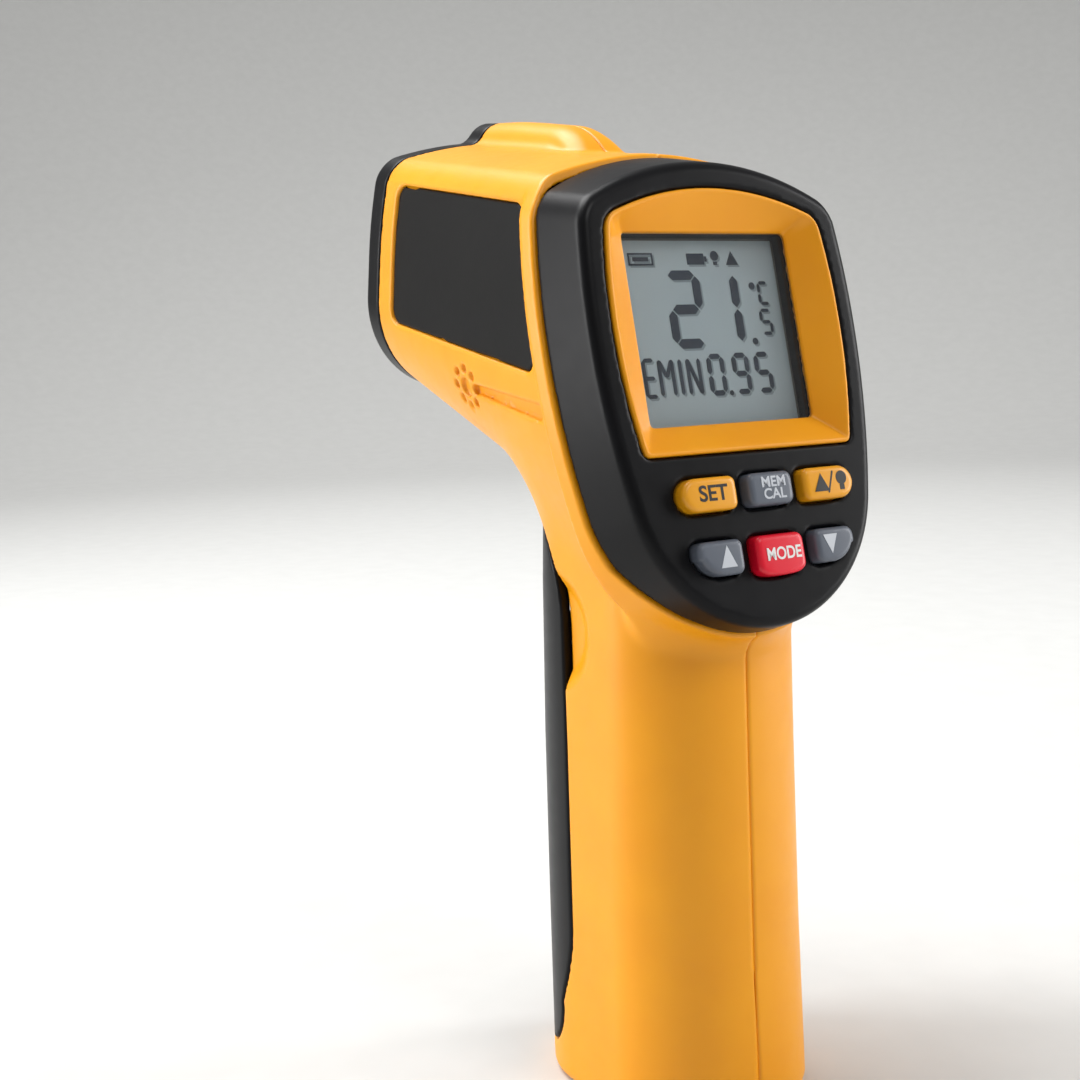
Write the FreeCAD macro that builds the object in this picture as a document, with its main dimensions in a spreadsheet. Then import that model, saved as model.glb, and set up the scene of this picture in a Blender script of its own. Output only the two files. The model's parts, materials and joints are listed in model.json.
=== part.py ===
"""Pistol-grip infrared thermometer: parametric document, one object per physical piece.

Units are millimetres.  +Z runs up the handle and the origin is the centre of the flat base.  The nose
aims along -X and the display looks back along +X.  Two tilted frames hang on the display centre:

FACE  local (across, up, out): the plane of the display face, leaning back from the vertical.
AIM   local (across, up, back): the optical axis, whose nose end points a little upward.
"""
import math
import os

import FreeCAD
import Part
import Sketcher
from FreeCAD import Placement, Rotation, Vector

SIZES = {
    # frames
    "face_back": 22.2, "face_high": 134.0, "face_tilt": 12.0, "aim_pitch": 10.0,
    # shells
    "wall": 2.2, "gap": 0.3, "nose_join": -73.5, "nose_front": -79.5, "rim_back": -15.5,
    "bezel_deep": 12.0, "panel_thick": 1.4,
    # handle and battery door
    "door_edge": -3.6, "hinge_back": -15.5, "hinge_high": 13.0, "door_round": 8.2, "sweep_radius": 10.0,
    "trigger_slot": 8.0, "slot_low": 82.0,
    "pin_radius": 1.25, "pin_half": 9.8, "knuckle_radius": 2.5, "knuckle_half": 6.0,
    # display
    "glass_wide": 37.0, "glass_tall": 35.0, "glass_thick": 1.2, "glass_out": -4.7,
    "lcd_wide": 38.0, "lcd_tall": 36.0, "lcd_thick": 2.6, "lcd_out": -9.7,
    "tray_wide": 42.0, "tray_tall": 40.0, "tray_thick": 6.2, "tray_out": -10.9,
    "view_wide": 34.0, "view_tall": 32.0, "frame_thick": 3.4,
    "board_wide": 32.0, "board_tall": 60.0, "board_thick": 1.6, "board_out": -13.7,
    # keys
    "key_proud": 2.2, "key_seat": -2.6, "flange_thick": 0.9, "flange_rim": 0.7, "stem_side": 3.0,
    "dome_radius": 2.6,
    # optics
    "barrel_radius": 14.0, "barrel_bore": 12.0, "barrel_back": -38.0, "lens_radius": 11.9,
    "lens_thick": 1.6, "lens_back": -68.0, "mouth_radius": 16.5,
    "can_radius": 4.6, "can_long": 5.0, "header_side": 27.0, "header_thick": 1.6,
    "laser_radius": 3.4, "laser_long": 22.0, "laser_high": 22.6, "laser_mouth": 2.6,
    # battery and its tray
    "cell_deep": 17.5, "cell_wide": 26.5, "cell_tall": 46.0, "cell_low": 19.0, "cell_mid": -5.25,
    "snap_thick": 4.0, "tray_wall": 1.6, "liner_wide": 31.0, "liner_low": 17.0, "liner_high": 79.0,
    # trigger
    "pull_back": -9.5, "pull_high": 103.5, "pull_half": 7.5, "pull_pin": 1.2,
    # screws
    "screw_head": 2.7, "screw_shank": 1.35, "screw_long": 19.0, "screw_seat": 8.0,
    "post_radius": 4.2,
}

doc = FreeCAD.newDocument("infrared_thermometer")
sheet = doc.addObject("Spreadsheet::Sheet", "sizes")
for row, (alias, value) in enumerate(SIZES.items(), start=1):
    sheet.set(f"A{row}", alias)
    sheet.set(f"B{row}", str(value))
    sheet.setAlias(f"B{row}", alias)
doc.recompute()


def size(alias):
    """Read one driving dimension from the spreadsheet."""
    return float(sheet.get(alias))


DISPLAY_CENTRE = Vector(size("face_back"), 0, size("face_high"))
ACROSS_UP_OUT = Rotation(Vector(1, 1, 1), 120)
HANDLE = Placement()
FACE = Placement(DISPLAY_CENTRE, Rotation(Vector(0, 1, 0), -size("face_tilt")) * ACROSS_UP_OUT)
AIM = Placement(DISPLAY_CENTRE, Rotation(Vector(0, 1, 0), size("aim_pitch")) * ACROSS_UP_OUT)
SIDEWAYS = Rotation(Vector(1, 0, 0), -90)
NODES = []


# ---------------------------------------------------------------- builders

def keep(obj, label):
    """Mark an object as a sub-part and give it the label that names its file."""
    obj.Label = label
    NODES.append(obj)
    return obj


def shift(frame, *offset):
    """The same frame moved by an offset measured in that frame."""
    return frame.multiply(Placement(Vector(*offset), Rotation()))


def feature(name, shape):
    """A Part::Feature that carries a computed shape."""
    obj = doc.addObject("Part::Feature", name)
    obj.Shape = shape
    return obj


def primitive(kind, name, placement, **expressions):
    """A Part primitive whose properties are bound to spreadsheet expressions."""
    obj = doc.addObject(f"Part::{kind}", name)
    for prop, expression in expressions.items():
        obj.setExpression(prop, expression)
    obj.Placement = placement
    return obj


def cylinder(name, frame, radius, height):
    """A bound cylinder that runs along the local Z axis of its frame."""
    return primitive("Cylinder", name, frame, Radius=radius, Height=height)


def box(name, low, high, frame=HANDLE):
    """A box between two corners given in a frame, with literal sizes taken from the sheet."""
    low, high = Vector(*low), Vector(*high)
    obj = doc.addObject("Part::Box", name)
    obj.Length, obj.Width, obj.Height = high - low
    obj.Placement = frame.multiply(Placement(low, Rotation()))
    return obj


def joined(name, *items):
    """One solid from several touching ones."""
    obj = doc.addObject("Part::MultiFuse", name)
    obj.Shapes = list(items)
    return obj


def minus(name, base, *tools):
    """The base with every tool cut away."""
    obj = doc.addObject("Part::Cut", name)
    obj.Base = base
    obj.Tool = tools[0] if len(tools) == 1 else joined(f"{name}_tools", *tools)
    return obj


def new_sketch(body, name):
    """A sketch on the XY plane of its own body."""
    sketch = body.newObject("Sketcher::SketchObject", name)
    plane = next(f for f in body.Origin.OriginFeatures if f.Role == "XY_Plane")
    sketch.AttachmentSupport = [(plane, "")]
    sketch.MapMode = "FlatFace"
    return sketch


def block(name, frame, wide, tall, thick, corner=None):
    """A padded centred rectangle, its corners filleted when a corner radius is given."""
    body = doc.addObject("PartDesign::Body", name)
    sketch = new_sketch(body, f"{name}_sketch")
    corners = [Vector(-5, -5, 0), Vector(5, -5, 0), Vector(5, 5, 0), Vector(-5, 5, 0)]
    for start, end in zip(corners, corners[1:] + corners[:1]):
        sketch.addGeometry(Part.LineSegment(start, end))
    for line in range(4):
        sketch.addConstraint(Sketcher.Constraint("Coincident", line, 2, (line + 1) % 4, 1))
        direction = "Vertical" if line % 2 else "Horizontal"
        sketch.addConstraint(Sketcher.Constraint(direction, line))
    sketch.addConstraint(Sketcher.Constraint("Symmetric", 0, 1, 1, 2, -1, 1))
    across = sketch.addConstraint(Sketcher.Constraint("DistanceX", 0, 1, 0, 2, 10))
    upward = sketch.addConstraint(Sketcher.Constraint("DistanceY", 1, 1, 1, 2, 10))
    sketch.setExpression(f"Constraints[{across}]", wide)
    sketch.setExpression(f"Constraints[{upward}]", tall)
    pad = body.newObject("PartDesign::Pad", f"{name}_pad")
    pad.Profile = sketch
    pad.setExpression("Length", thick)
    body.Placement = frame
    doc.recompute()
    if corner:
        upright = [f"Edge{index}" for index, edge in enumerate(pad.Shape.Edges, start=1)
                   if abs(edge.tangentAt(edge.FirstParameter).z) > 0.99]
        rounding = body.newObject("PartDesign::Fillet", f"{name}_corners")
        rounding.Base = (pad, upright)
        rounding.setExpression("Radius", corner)
        doc.recompute()
    return body


def disc(name, frame, radius, thick, bore=None):
    """A padded circle, or a ring when a bore is given."""
    body = doc.addObject("PartDesign::Body", name)
    sketch = new_sketch(body, f"{name}_sketch")
    for index, expression in enumerate(filter(None, (radius, bore))):
        circle = sketch.addGeometry(Part.Circle(Vector(), Vector(0, 0, 1), 5 - index))
        sketch.addConstraint(Sketcher.Constraint("Coincident", circle, 3, -1, 1))
        limit = sketch.addConstraint(Sketcher.Constraint("Radius", circle, 5 - index))
        sketch.setExpression(f"Constraints[{limit}]", expression)
    pad = body.newObject("PartDesign::Pad", f"{name}_pad")
    pad.Profile = sketch
    pad.setExpression("Length", thick)
    body.Placement = frame
    doc.recompute()
    return body


def mirrored_outline(frame, depth, half, grow=0.0):
    """A closed wire across a frame, symmetric about its up axis.

    half lists (across, up) points from the top centre to the bottom centre.  They are taken in threes
    that share their ends, so every stretch is one arc; the first and last arcs straddle the centre.
    """
    grown = [grow_point(half, index, grow) for index in range(len(half))]
    right = [frame.multVec(Vector(across, up, depth)) for across, up in grown]
    left = [frame.multVec(Vector(-across, up, depth)) for across, up in grown]
    edges = [Part.Arc(left[1], right[0], right[1])]
    edges += [Part.Arc(right[i], right[i + 1], right[i + 2]) for i in range(1, len(half) - 3, 2)]
    edges += [Part.Arc(right[-2], right[-1], left[-2])]
    edges += [Part.Arc(left[i + 2], left[i + 1], left[i]) for i in range(len(half) - 4, 0, -2)]
    return Part.Wire([edge.toShape() for edge in edges])


def grow_point(points, index, grow):
    """A point of a half outline moved outward along the normal of its neighbours' chord."""
    if index in (0, len(points) - 1):
        across, up = points[index]
        return (across, up + grow if index == 0 else up - grow)
    before, after = points[index - 1], points[index + 1]
    run = Vector(after[0] - before[0], after[1] - before[1], 0).normalize()
    across, up = points[index]
    return (across - grow * run.y, up + grow * run.x)


def loft(*wires):
    """A ruled solid through two wires."""
    return Part.makeLoft(list(wires), True, True)


# ---------------------------------------------------------------- outlines

FACE_FRONT = [(0, 27.0), (20.6, 22.9), (25.0, 21.0), (26.3, 18.0), (27.6, 0), (25.4, -25.0),
              (20.9, -38.2), (11.0, -47.0), (0, -49.6)]
FACE_BACK = [(0, 31.8), (22.4, 27.1), (26.4, 25.2), (27.3, 21.5), (28.9, 1.0), (26.6, -24.0),
             (21.6, -38.6), (11.3, -47.6), (0, -50.3)]
HEAD_BACK = [(0, 31.6), (22.2, 26.4), (25.4, 24.8), (26.2, 21.5), (27.4, 1.0), (25.8, -24.0),
             (21.0, -38.2), (11.3, -47.4), (0, -50.2)]
NOSE = [(0, 24.6), (21.6, 21.0), (25.1, 19.8), (26.0, 16.5), (27.0, 1.0), (26.2, -10.0),
        (21.4, -19.6), (13.0, -23.0), (0, -23.8)]
WINDOW_FRAME = [(0, 22.7), (18.8, 19.3), (21.4, 18.4), (22.1, 17.0), (23.5, 0), (22.7, -18.6),
                (22.2, -20.4), (20.6, -21.1), (0, -21.2)]


def head(grow):
    """The head: a ruled loft from the nose section back to the display face's rear section."""
    front = mirrored_outline(AIM, size("nose_join"), NOSE, grow)
    back = mirrored_outline(FACE, size("rim_back") + 3.0, HEAD_BACK, grow)
    return loft(front, back)


HANDLE_STATIONS = [(0, 24.6, -23.4, 19.2), (30, 23.9, -24.2, 18.7), (62, 23.8, -23.8, 18.5),
                   (90, 23.8, -21.8, 18.5), (114, 20.4, -19.0, 18.2)]


def handle_section(high, back, front, half, grow):
    """A rounded handle section: a tight oval at the back, a fuller one in front, flat flanks."""
    half += grow
    flank_back, flank_front = 9.3, -4.5
    rear_reach = back + grow - flank_back
    front_reach = flank_front - front + grow
    corners = [(flank_back, -half), (flank_back + rear_reach, 0), (flank_back, half),
               (flank_front, half), (flank_front - front_reach, 0), (flank_front, -half)]
    ends = [Vector(x, y, high) for x, y in corners]
    curves = [quarter_oval(ends[0], ends[1], True), quarter_oval(ends[1], ends[2], False),
              Part.LineSegment(ends[2], ends[3]),
              quarter_oval(ends[3], ends[4], True), quarter_oval(ends[4], ends[5], False),
              Part.LineSegment(ends[5], ends[0])]
    return Part.Wire([curve.toShape() for curve in curves])


def quarter_oval(start, end, leaves_flank):
    """A quarter of an ellipse between a flank end and the point farthest from it."""
    centre = Vector(start.x, 0, start.z) if leaves_flank else Vector(end.x, 0, end.z)
    reach, half = (end - centre, start - centre) if leaves_flank else (start - centre, end - centre)
    turn = [math.pi / 2 * step / 4 for step in range(5)]
    points = [centre + reach * math.sin(a) + half * math.cos(a) for a in turn]
    leave, arrive = reach.normalize(), half.normalize() * -1
    if not leaves_flank:
        points.reverse()
        leave, arrive = arrive * -1, leave * -1
    curve = Part.BSplineCurve()
    curve.interpolate(points, InitialTangent=leave, FinalTangent=arrive)
    return curve


def handle(grow):
    """The handle: a ruled loft of sections up the grip."""
    wires = []
    for high, back, front, half in HANDLE_STATIONS:
        level = high - grow if high == 0 else high
        wires.append(handle_section(level, back, front, half, grow))
    return loft(*wires)


def sideways_prism(points, half=40.0):
    """An extrusion across the whole width of an outline given as (x, z) points."""
    wire = Part.makePolygon([Vector(x, -half, z) for x, z in points + points[:1]])
    return Part.Face(wire).extrude(Vector(0, 2 * half, 0))


def face_prism(points, half=40.0):
    """An extrusion across the whole width of an outline given as (up, out) points of the face."""
    wire = Part.makePolygon([Vector(-half, up, out) for up, out in points + points[:1]])
    solid = Part.Face(wire).extrude(Vector(2 * half, 0, 0))
    solid.Placement = FACE
    return solid


def aim_prism(points, low, high):
    """An extrusion across the aim frame, between two distances from the centre plane."""
    wire = Part.makePolygon([Vector(low, up, back) for back, up in points + points[:1]])
    solid = Part.Face(wire).extrude(Vector(high - low, 0, 0))
    solid.Placement = AIM
    return solid


# the line where the dark bezel meets the coloured shells, as (up, out) points of the face
SPLIT_LINE = [(80, -12.0), (-30, -12.0), (-37, -11.0), (-43, -8.2), (-47.8, -6.4), (-60, -5.0)]
BEHIND_SPLIT = SPLIT_LINE + [(-200, -5.0), (-200, -200), (80, -200)]

behind_split = face_prism(BEHIND_SPLIT)
ahead_of_split = face_prism(SPLIT_LINE + [(-60, 8), (80, 8)])
bezel_full = loft(mirrored_outline(FACE, 0, FACE_FRONT),
                  mirrored_outline(FACE, -size("bezel_deep"), FACE_BACK))
bezel_hollow = loft(mirrored_outline(FACE, -size("wall"), FACE_FRONT, -size("wall")),
                    mirrored_outline(FACE, -size("bezel_deep") - 1, FACE_BACK, -size("wall")))
rim_full = loft(mirrored_outline(FACE, -4.0, FACE_BACK, 0.5),
                mirrored_outline(FACE, size("rim_back"), FACE_BACK, 0.5)).common(behind_split)
rim_hollow = loft(mirrored_outline(FACE, -3.0, FACE_BACK, -2.4),
                  mirrored_outline(FACE, size("rim_back") - 1.5, FACE_BACK, -2.4))


def hump(grow):
    """The raised rib over the laser, from the nose join back down its ramp."""
    high = 29.0 + grow
    half = 6.6 + grow
    join = size("nose_join")
    side = [(join, 10), (join, high), (-47.0, high), (-42.0, high - 0.6), (-33.0, 23.0), (-33.0, 10)]
    return aim_prism(side, -half, half)


def outer_body(grow):
    """Head, rib, rim and handle as one closed outer form behind the bezel."""
    form = head(grow).fuse([handle(grow), hump(grow)]).common(behind_split)
    return form


# ---------------------------------------------------------------- shells

wall = size("wall")
gap = size("gap")
seal = 0.05
hinge = Vector(size("hinge_back"), 0, size("hinge_high"))
pivot = Vector(size("pull_back"), 0, size("pull_high"))
Y_AXIS = Vector(0, 1, 0)
SCREW_SITES = [(4.5, 12.0), (8.5, 84.0), (-8.0, 118.5), (-40.1, 126.1), (-6.2, 151.2)]
LUG_WIDE = 3.2
PANEL_SIDE = [(-68.7, 16.6), (-24.0, 16.8), (-16.4, -10.4), (-68.2, -9.1)]


def rod(x, z, low, high, radius):
    """A round bar across the body between two distances from the centre plane."""
    return Part.makeCylinder(radius, high - low, Vector(x, low, z), Y_AXIS)


def brick(low, high):
    """A solid box between two corners."""
    low, high = Vector(*low), Vector(*high)
    return Part.makeBox(*(high - low), low)


def both_sides(x, z, near, far, radius):
    """A pair of round bars, mirrored about the centre plane."""
    return rod(x, z, near, far, radius).fuse(rod(x, z, -far, -near, radius))


def door_region(grow):
    """Side outline of the battery door swept across the handle, grown by the shadow gap."""
    edge = size("door_edge") + grow
    side = [(hinge.x + size("door_round") + grow, hinge.z), (edge, 22.0), (edge, 89.0),
            (edge - 2.4, 95.0 + grow), (-9.0, 99.6 + grow), (-13.2, 104.5 + grow),
            (-21.0, 108.0 + grow), (-40.0, 114.0 + grow), (-40.0, hinge.z)]
    round_end = rod(hinge.x, hinge.z, -40, 40, size("door_round") + grow)
    return sideways_prism(side).fuse(round_end)


def hinge_arm(near):
    """Arm that carries a hinge lug back over the door's sweep and down to the floor of the grip."""
    arm = brick((hinge.x, near, hinge.z - 2.4), (-2.0, near + LUG_WIDE, hinge.z + 1.6))
    return arm.fuse(brick((-5.5, near, 1.0), (-2.0, near + LUG_WIDE, hinge.z + 1.6)))


def shell_supports():
    """Screw posts, hinge lugs and trigger lugs that grow from the inside of the shells."""
    slot = size("trigger_slot")
    knuckle = size("knuckle_half") + gap
    posts = [rod(x, z, -26, 26, size("post_radius")) for x, z in SCREW_SITES]
    lugs = [both_sides(hinge.x, hinge.z, knuckle, knuckle + LUG_WIDE, 2.4),
            hinge_arm(knuckle), hinge_arm(-knuckle - LUG_WIDE),
            both_sides(pivot.x, pivot.z, slot, 12.8, 2.6),
            both_sides(pivot.x, pivot.z, 12.6, 18, 2.6).cut(door_region(gap))]
    return posts[0].fuse(posts[1:] + lugs)


def shell_holes():
    """Screw bores with counterbores from the right, and bores for the two pins."""
    seat = size("screw_seat")
    cuts = []
    for x, z in SCREW_SITES:
        cuts.append(rod(x, z, seat, 40, size("screw_head") + gap))
        cuts.append(rod(x, z, seat - size("screw_long"), seat, size("screw_shank")))
    cuts.append(rod(hinge.x, hinge.z, -size("pin_half"), size("pin_half"), size("pin_radius")))
    cuts.append(rod(pivot.x, pivot.z, -12, 12, size("pull_pin")))
    return cuts[0].fuse(cuts[1:])


outer = outer_body(0.0).fuse(rim_full)
nose_mouth = loft(mirrored_outline(AIM, size("nose_join") - 1, NOSE, -wall - 1.4),
                  mirrored_outline(AIM, size("nose_join") + 6, NOSE, -wall - 1.4))
cavity = head(-wall).fuse([handle(-wall), hump(-1.6), rim_hollow, nose_mouth])
slot = size("trigger_slot")
brow = brick((-30, -slot, size("pull_high")), (10, slot, 130))
finger_notch = rod(size("door_edge") - 2.4, 82.0, -40, 40, 10.4).cut(handle(-1.5))
panel_prism = aim_prism(PANEL_SIDE, -40, 40)
panel_pocket = panel_prism.cut(head(-gap - size("panel_thick")))
door_sweep = rod(hinge.x, hinge.z, -7.5, 7.5, size("sweep_radius"))
door_sweep = door_sweep.common(brick((-40, -10, -5), (hinge.x - 3, 10, hinge.z)))
shell = outer.cut(cavity).cut(door_region(gap).cut(brow)).cut(finger_notch).cut(door_sweep)
shell = shell.fuse(shell_supports().common(outer)).cut(shell_holes()).cut(panel_pocket)
for side, label in ((-1, "left_shell"), (1, "right_shell")):
    half_space = brick((-80, min(0, side * 60), -5), (60, max(0, side * 60), 190))
    keep(feature(label, shell.common(half_space)), label)

# dark plastic panels let into the two sides of the head
panel_skin = panel_prism.common(head(-gap)).cut(head(-gap - size("panel_thick")))
for side, label in ((-1, "left_side_panel"), (1, "right_side_panel")):
    half_space = brick((-80, min(0, side * 60), -5), (60, max(0, side * 60), 190))
    keep(feature(label, panel_skin.common(half_space)), label)

# self-tapping screws that hold the two shells together
screw_parts = []
for index, (x, z) in enumerate(SCREW_SITES):
    seat = size("screw_seat")
    tail = seat - size("screw_long")
    top = cylinder(f"screw_head_{index}", Placement(Vector(x, seat, z), SIDEWAYS),
                   "sizes.screw_head", "sizes.screw_shank * 1.4")
    shank = cylinder(f"screw_shank_{index}", Placement(Vector(x, tail, z), SIDEWAYS),
                     "sizes.screw_shank", "sizes.screw_long")
    screw_parts += [top, shank]
keep(joined("shell_screws", *screw_parts), "shell_screws")


# ---------------------------------------------------------------- display face

KEY_ROW_ONE, KEY_ROW_TWO = (-25.1, -30.5), (-35.2, -40.8)
KEYS = {
    "set_button": (-16.7, -5.9, *KEY_ROW_ONE),
    "memory_button": (-3.4, 5.7, *KEY_ROW_ONE),
    "light_button": (8.2, 18.9, *KEY_ROW_ONE),
    "up_button": (-15.4, -6.5, *KEY_ROW_TWO),
    "mode_button": (-3.8, 6.1, KEY_ROW_TWO[0], -42.2),
    "down_button": (8.7, 17.0, *KEY_ROW_TWO),
}


def key_solid(limits, grow, low, high, rounding):
    """A key prism with rounded corners between two depths of the face frame."""
    left, right, top, bottom = limits
    solid = Part.makeBox(right - left + 2 * grow, top - bottom + 2 * grow, high - low,
                         Vector(left - grow, bottom - grow, low))
    upright = [e for e in solid.Edges if abs(e.tangentAt(e.FirstParameter).z) > 0.99]
    solid = solid.makeFillet(rounding, upright)
    solid.Placement = FACE
    return solid


frame_hole = loft(mirrored_outline(FACE, 1, WINDOW_FRAME), mirrored_outline(FACE, -4, WINDOW_FRAME))
key_holes = [key_solid(limits, 0.25, -4, 1, 1.8) for limits in KEYS.values()]
bezel = bezel_full.common(ahead_of_split).cut(bezel_hollow).cut(frame_hole)
for key_hole in key_holes:
    bezel = bezel.cut(key_hole)
keep(feature("display_bezel", bezel), "display_bezel")

WINDOW_OPENING = [(0, 16.2), (14.6, 16.0), (16.5, 15.5), (17.0, 13.6), (17.1, 0), (17.0, -13.6),
                  (16.5, -15.5), (14.6, -16.0), (0, -16.2)]
frame_back = -size("frame_thick")
frame_solid = loft(mirrored_outline(FACE, 0, WINDOW_FRAME),
                   mirrored_outline(FACE, frame_back, WINDOW_FRAME))
frame_slope = loft(mirrored_outline(FACE, 0.01, WINDOW_FRAME, -1.0),
                   mirrored_outline(FACE, frame_back - 0.01, WINDOW_OPENING))
keep(feature("display_frame", frame_solid.cut(frame_slope)), "display_frame")

keep(block("lcd_window", shift(FACE, 0, 0, size("glass_out")), "sizes.glass_wide",
           "sizes.glass_tall", "sizes.glass_thick", "sizes.glass_thick"), "lcd_window")
holder_block = block("holder_block", shift(FACE, 0, 0, size("tray_out")), "sizes.tray_wide",
                     "sizes.tray_tall", "sizes.tray_thick", "sizes.glass_thick")
holder_view = block("holder_view", shift(FACE, 0, 0, size("tray_out")), "sizes.view_wide",
                    "sizes.view_tall", "sizes.tray_thick", "sizes.glass_thick")
holder_seat = block("holder_seat", shift(FACE, 0, 0, size("tray_out")), "sizes.lcd_wide",
                    "sizes.lcd_tall", "sizes.lcd_out + sizes.lcd_thick - sizes.tray_out")
keep(minus("lcd_holder", holder_block, holder_view, holder_seat), "lcd_holder")
keep(block("lcd_panel", shift(FACE, 0, 0, size("lcd_out")), "sizes.lcd_wide", "sizes.lcd_tall",
           "sizes.lcd_thick"), "lcd_panel")

board_middle = -8.5
keep(block("display_board", shift(FACE, 0, board_middle, size("board_out")), "sizes.board_wide",
           "sizes.board_tall", "sizes.board_thick"), "display_board")
board_face = size("board_out") + size("board_thick")
strips = [box(f"strip_{index}", (-15, up - 1.2, board_face), (15, up + 1.2, size("lcd_out")), FACE)
          for index, up in enumerate((-13.0, 13.0))]
keep(joined("elastomer_connectors", *strips), "elastomer_connectors")

mat = box("mat_sheet", (-15.8, -37.5, board_face), (15.8, -22.5, board_face + 1.2), FACE)
domes = []
for name, (left, right, top, bottom) in KEYS.items():
    place = shift(FACE, (left + right) / 2 * 0.8, max((top + bottom) / 2, -36.0), board_face + 1.1)
    domes.append(cylinder(f"{name}_dome", place, "sizes.dome_radius", "sizes.dome_radius / 2"))
keep(joined("keypad_mat", mat, *domes), "keypad_mat")

key_room = loft(mirrored_outline(FACE, -wall, FACE_FRONT, -wall - 0.5),
                mirrored_outline(FACE, -size("bezel_deep"), FACE_BACK, -wall - 0.5))
for name, limits in KEYS.items():
    left, right, top, bottom = limits
    seat = size("key_seat")
    flange = seat - size("flange_thick")
    cap = key_solid(limits, 0, seat, size("key_proud"), 1.6)
    skirt = key_solid(limits, size("flange_rim"), flange, seat, 1.6).common(key_room)
    middle = Vector((left + right) / 2 * 0.8, max((top + bottom) / 2, -36.0), 0)
    half = size("stem_side") / 2
    stem = Part.makeBox(2 * half, 2 * half, 4.6, Vector(middle.x - half, middle.y - half, flange - 4.6))
    stem.Placement = FACE
    keep(feature(name, cap.fuse([skirt, stem])), name)


# ---------------------------------------------------------------- optics and laser

nose_join, nose_front = size("nose_join"), size("nose_front")
cap_loft = loft(mirrored_outline(AIM, nose_join, NOSE), mirrored_outline(AIM, nose_front, NOSE, -1.2))
cap_brow = aim_prism([(nose_join, 15), (nose_join, 29), (nose_front + 2, 28.2), (nose_front, 26.5),
                      (nose_front, 15)], -6.6, 6.6)
cap_hollow = [disc("cap_mouth", shift(AIM, 0, 0, nose_front - 1), "sizes.mouth_radius",
                   "sizes.wall + 1"),
              disc("cap_seat", shift(AIM, 0, 0, nose_front - 1), "sizes.barrel_radius", "9"),
              disc("laser_exit", shift(AIM, 0, size("laser_high"), nose_front - 1),
                   "sizes.laser_mouth", "9"),
              disc("laser_socket", shift(AIM, 0, size("laser_high"), nose_front + 3),
                   "sizes.laser_radius", "9")]
keep(minus("nose_cap", feature("nose_cap_block", cap_loft.fuse(cap_brow)), *cap_hollow), "nose_cap")

tube = disc("barrel_tube", shift(AIM, 0, 0, nose_front + wall), "sizes.barrel_radius",
            "sizes.barrel_back - sizes.nose_front - sizes.wall", "sizes.barrel_bore")
ledge = disc("barrel_ledge", shift(AIM, 0, 0, size("lens_back") + size("lens_thick")),
             "sizes.barrel_bore + 0.2", "sizes.lens_thick", "sizes.barrel_bore - sizes.lens_thick")
keep(joined("lens_barrel", tube, ledge), "lens_barrel")
keep(disc("ir_lens", shift(AIM, 0, 0, size("lens_back")), "sizes.lens_radius", "sizes.lens_thick"),
     "ir_lens")
keep(block("sensor_board", shift(AIM, 0, 0, size("barrel_back")), "sizes.header_side",
           "sizes.header_side", "sizes.header_thick"), "sensor_board")
keep(disc("thermopile_sensor", shift(AIM, 0, 0, size("barrel_back") - size("can_long")),
          "sizes.can_radius", "sizes.can_long"), "thermopile_sensor")
keep(disc("laser_module", shift(AIM, 0, size("laser_high"), nose_front + 3), "sizes.laser_radius",
          "sizes.laser_long"), "laser_module")
keep(disc("laser_window", shift(AIM, 0, size("laser_high"), nose_front + 1), "sizes.laser_mouth",
          "sizes.wall - 0.6"), "laser_window")


# ---------------------------------------------------------------- battery, door and boards

liner_low, liner_high = size("liner_low"), size("liner_high")
liner_half = size("liner_wide") / 2
liner_wall = size("tray_wall")
cell_mid = size("cell_mid")
cell_rear = cell_mid + size("cell_deep") / 2 + 0.6
liner_back = cell_rear + liner_wall
tray_solid = brick((-9, -liner_half, liner_low), (liner_back, liner_half, liner_high))
tray_room = brick((-12, -liner_half + liner_wall, liner_low + liner_wall),
                  (cell_rear, liner_half - liner_wall, liner_high - liner_wall))
wire_slot = brick((cell_rear - 1, -5, 70), (liner_back + 1, 5, 75.5))
switch_post = brick((0, -6, liner_high - 0.5), (3.2, 6, 100))
board_front = 9.5
pegs = [Part.makeCylinder(1.6, board_front - liner_back, Vector(liner_back, y, z), Vector(1, 0, 0))
        for y in (-10, 10) for z in (28, 68)]
tray = tray_solid.cut(tray_room).cut(wire_slot).fuse([switch_post] + pegs)
keep(feature("battery_tray", tray), "battery_tray")

cell_frame = Placement(Vector(cell_mid, 0, size("cell_low")), Rotation())
keep(block("battery", cell_frame, "sizes.cell_deep", "sizes.cell_wide", "sizes.cell_tall",
           "sizes.stem_side / 1.5"), "battery")
cell_top = size("cell_low") + size("cell_tall")
studs = [cylinder(f"stud_{side}", Placement(Vector(cell_mid, 6.4 * side, cell_top), Rotation()),
                  "sizes.stem_side * 1.1", "sizes.snap_thick * 0.75") for side in (-1, 1)]
keep(joined("battery_terminals", *studs), "battery_terminals")
snap_block = block("snap_block", Placement(Vector(cell_mid, 0, cell_top + 0.6), Rotation()),
                   "sizes.cell_deep * 0.72", "sizes.cell_wide * 0.95", "sizes.snap_thick",
                   "sizes.stem_side / 1.5")
keep(minus("battery_snap", snap_block, *studs), "battery_snap")


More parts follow.
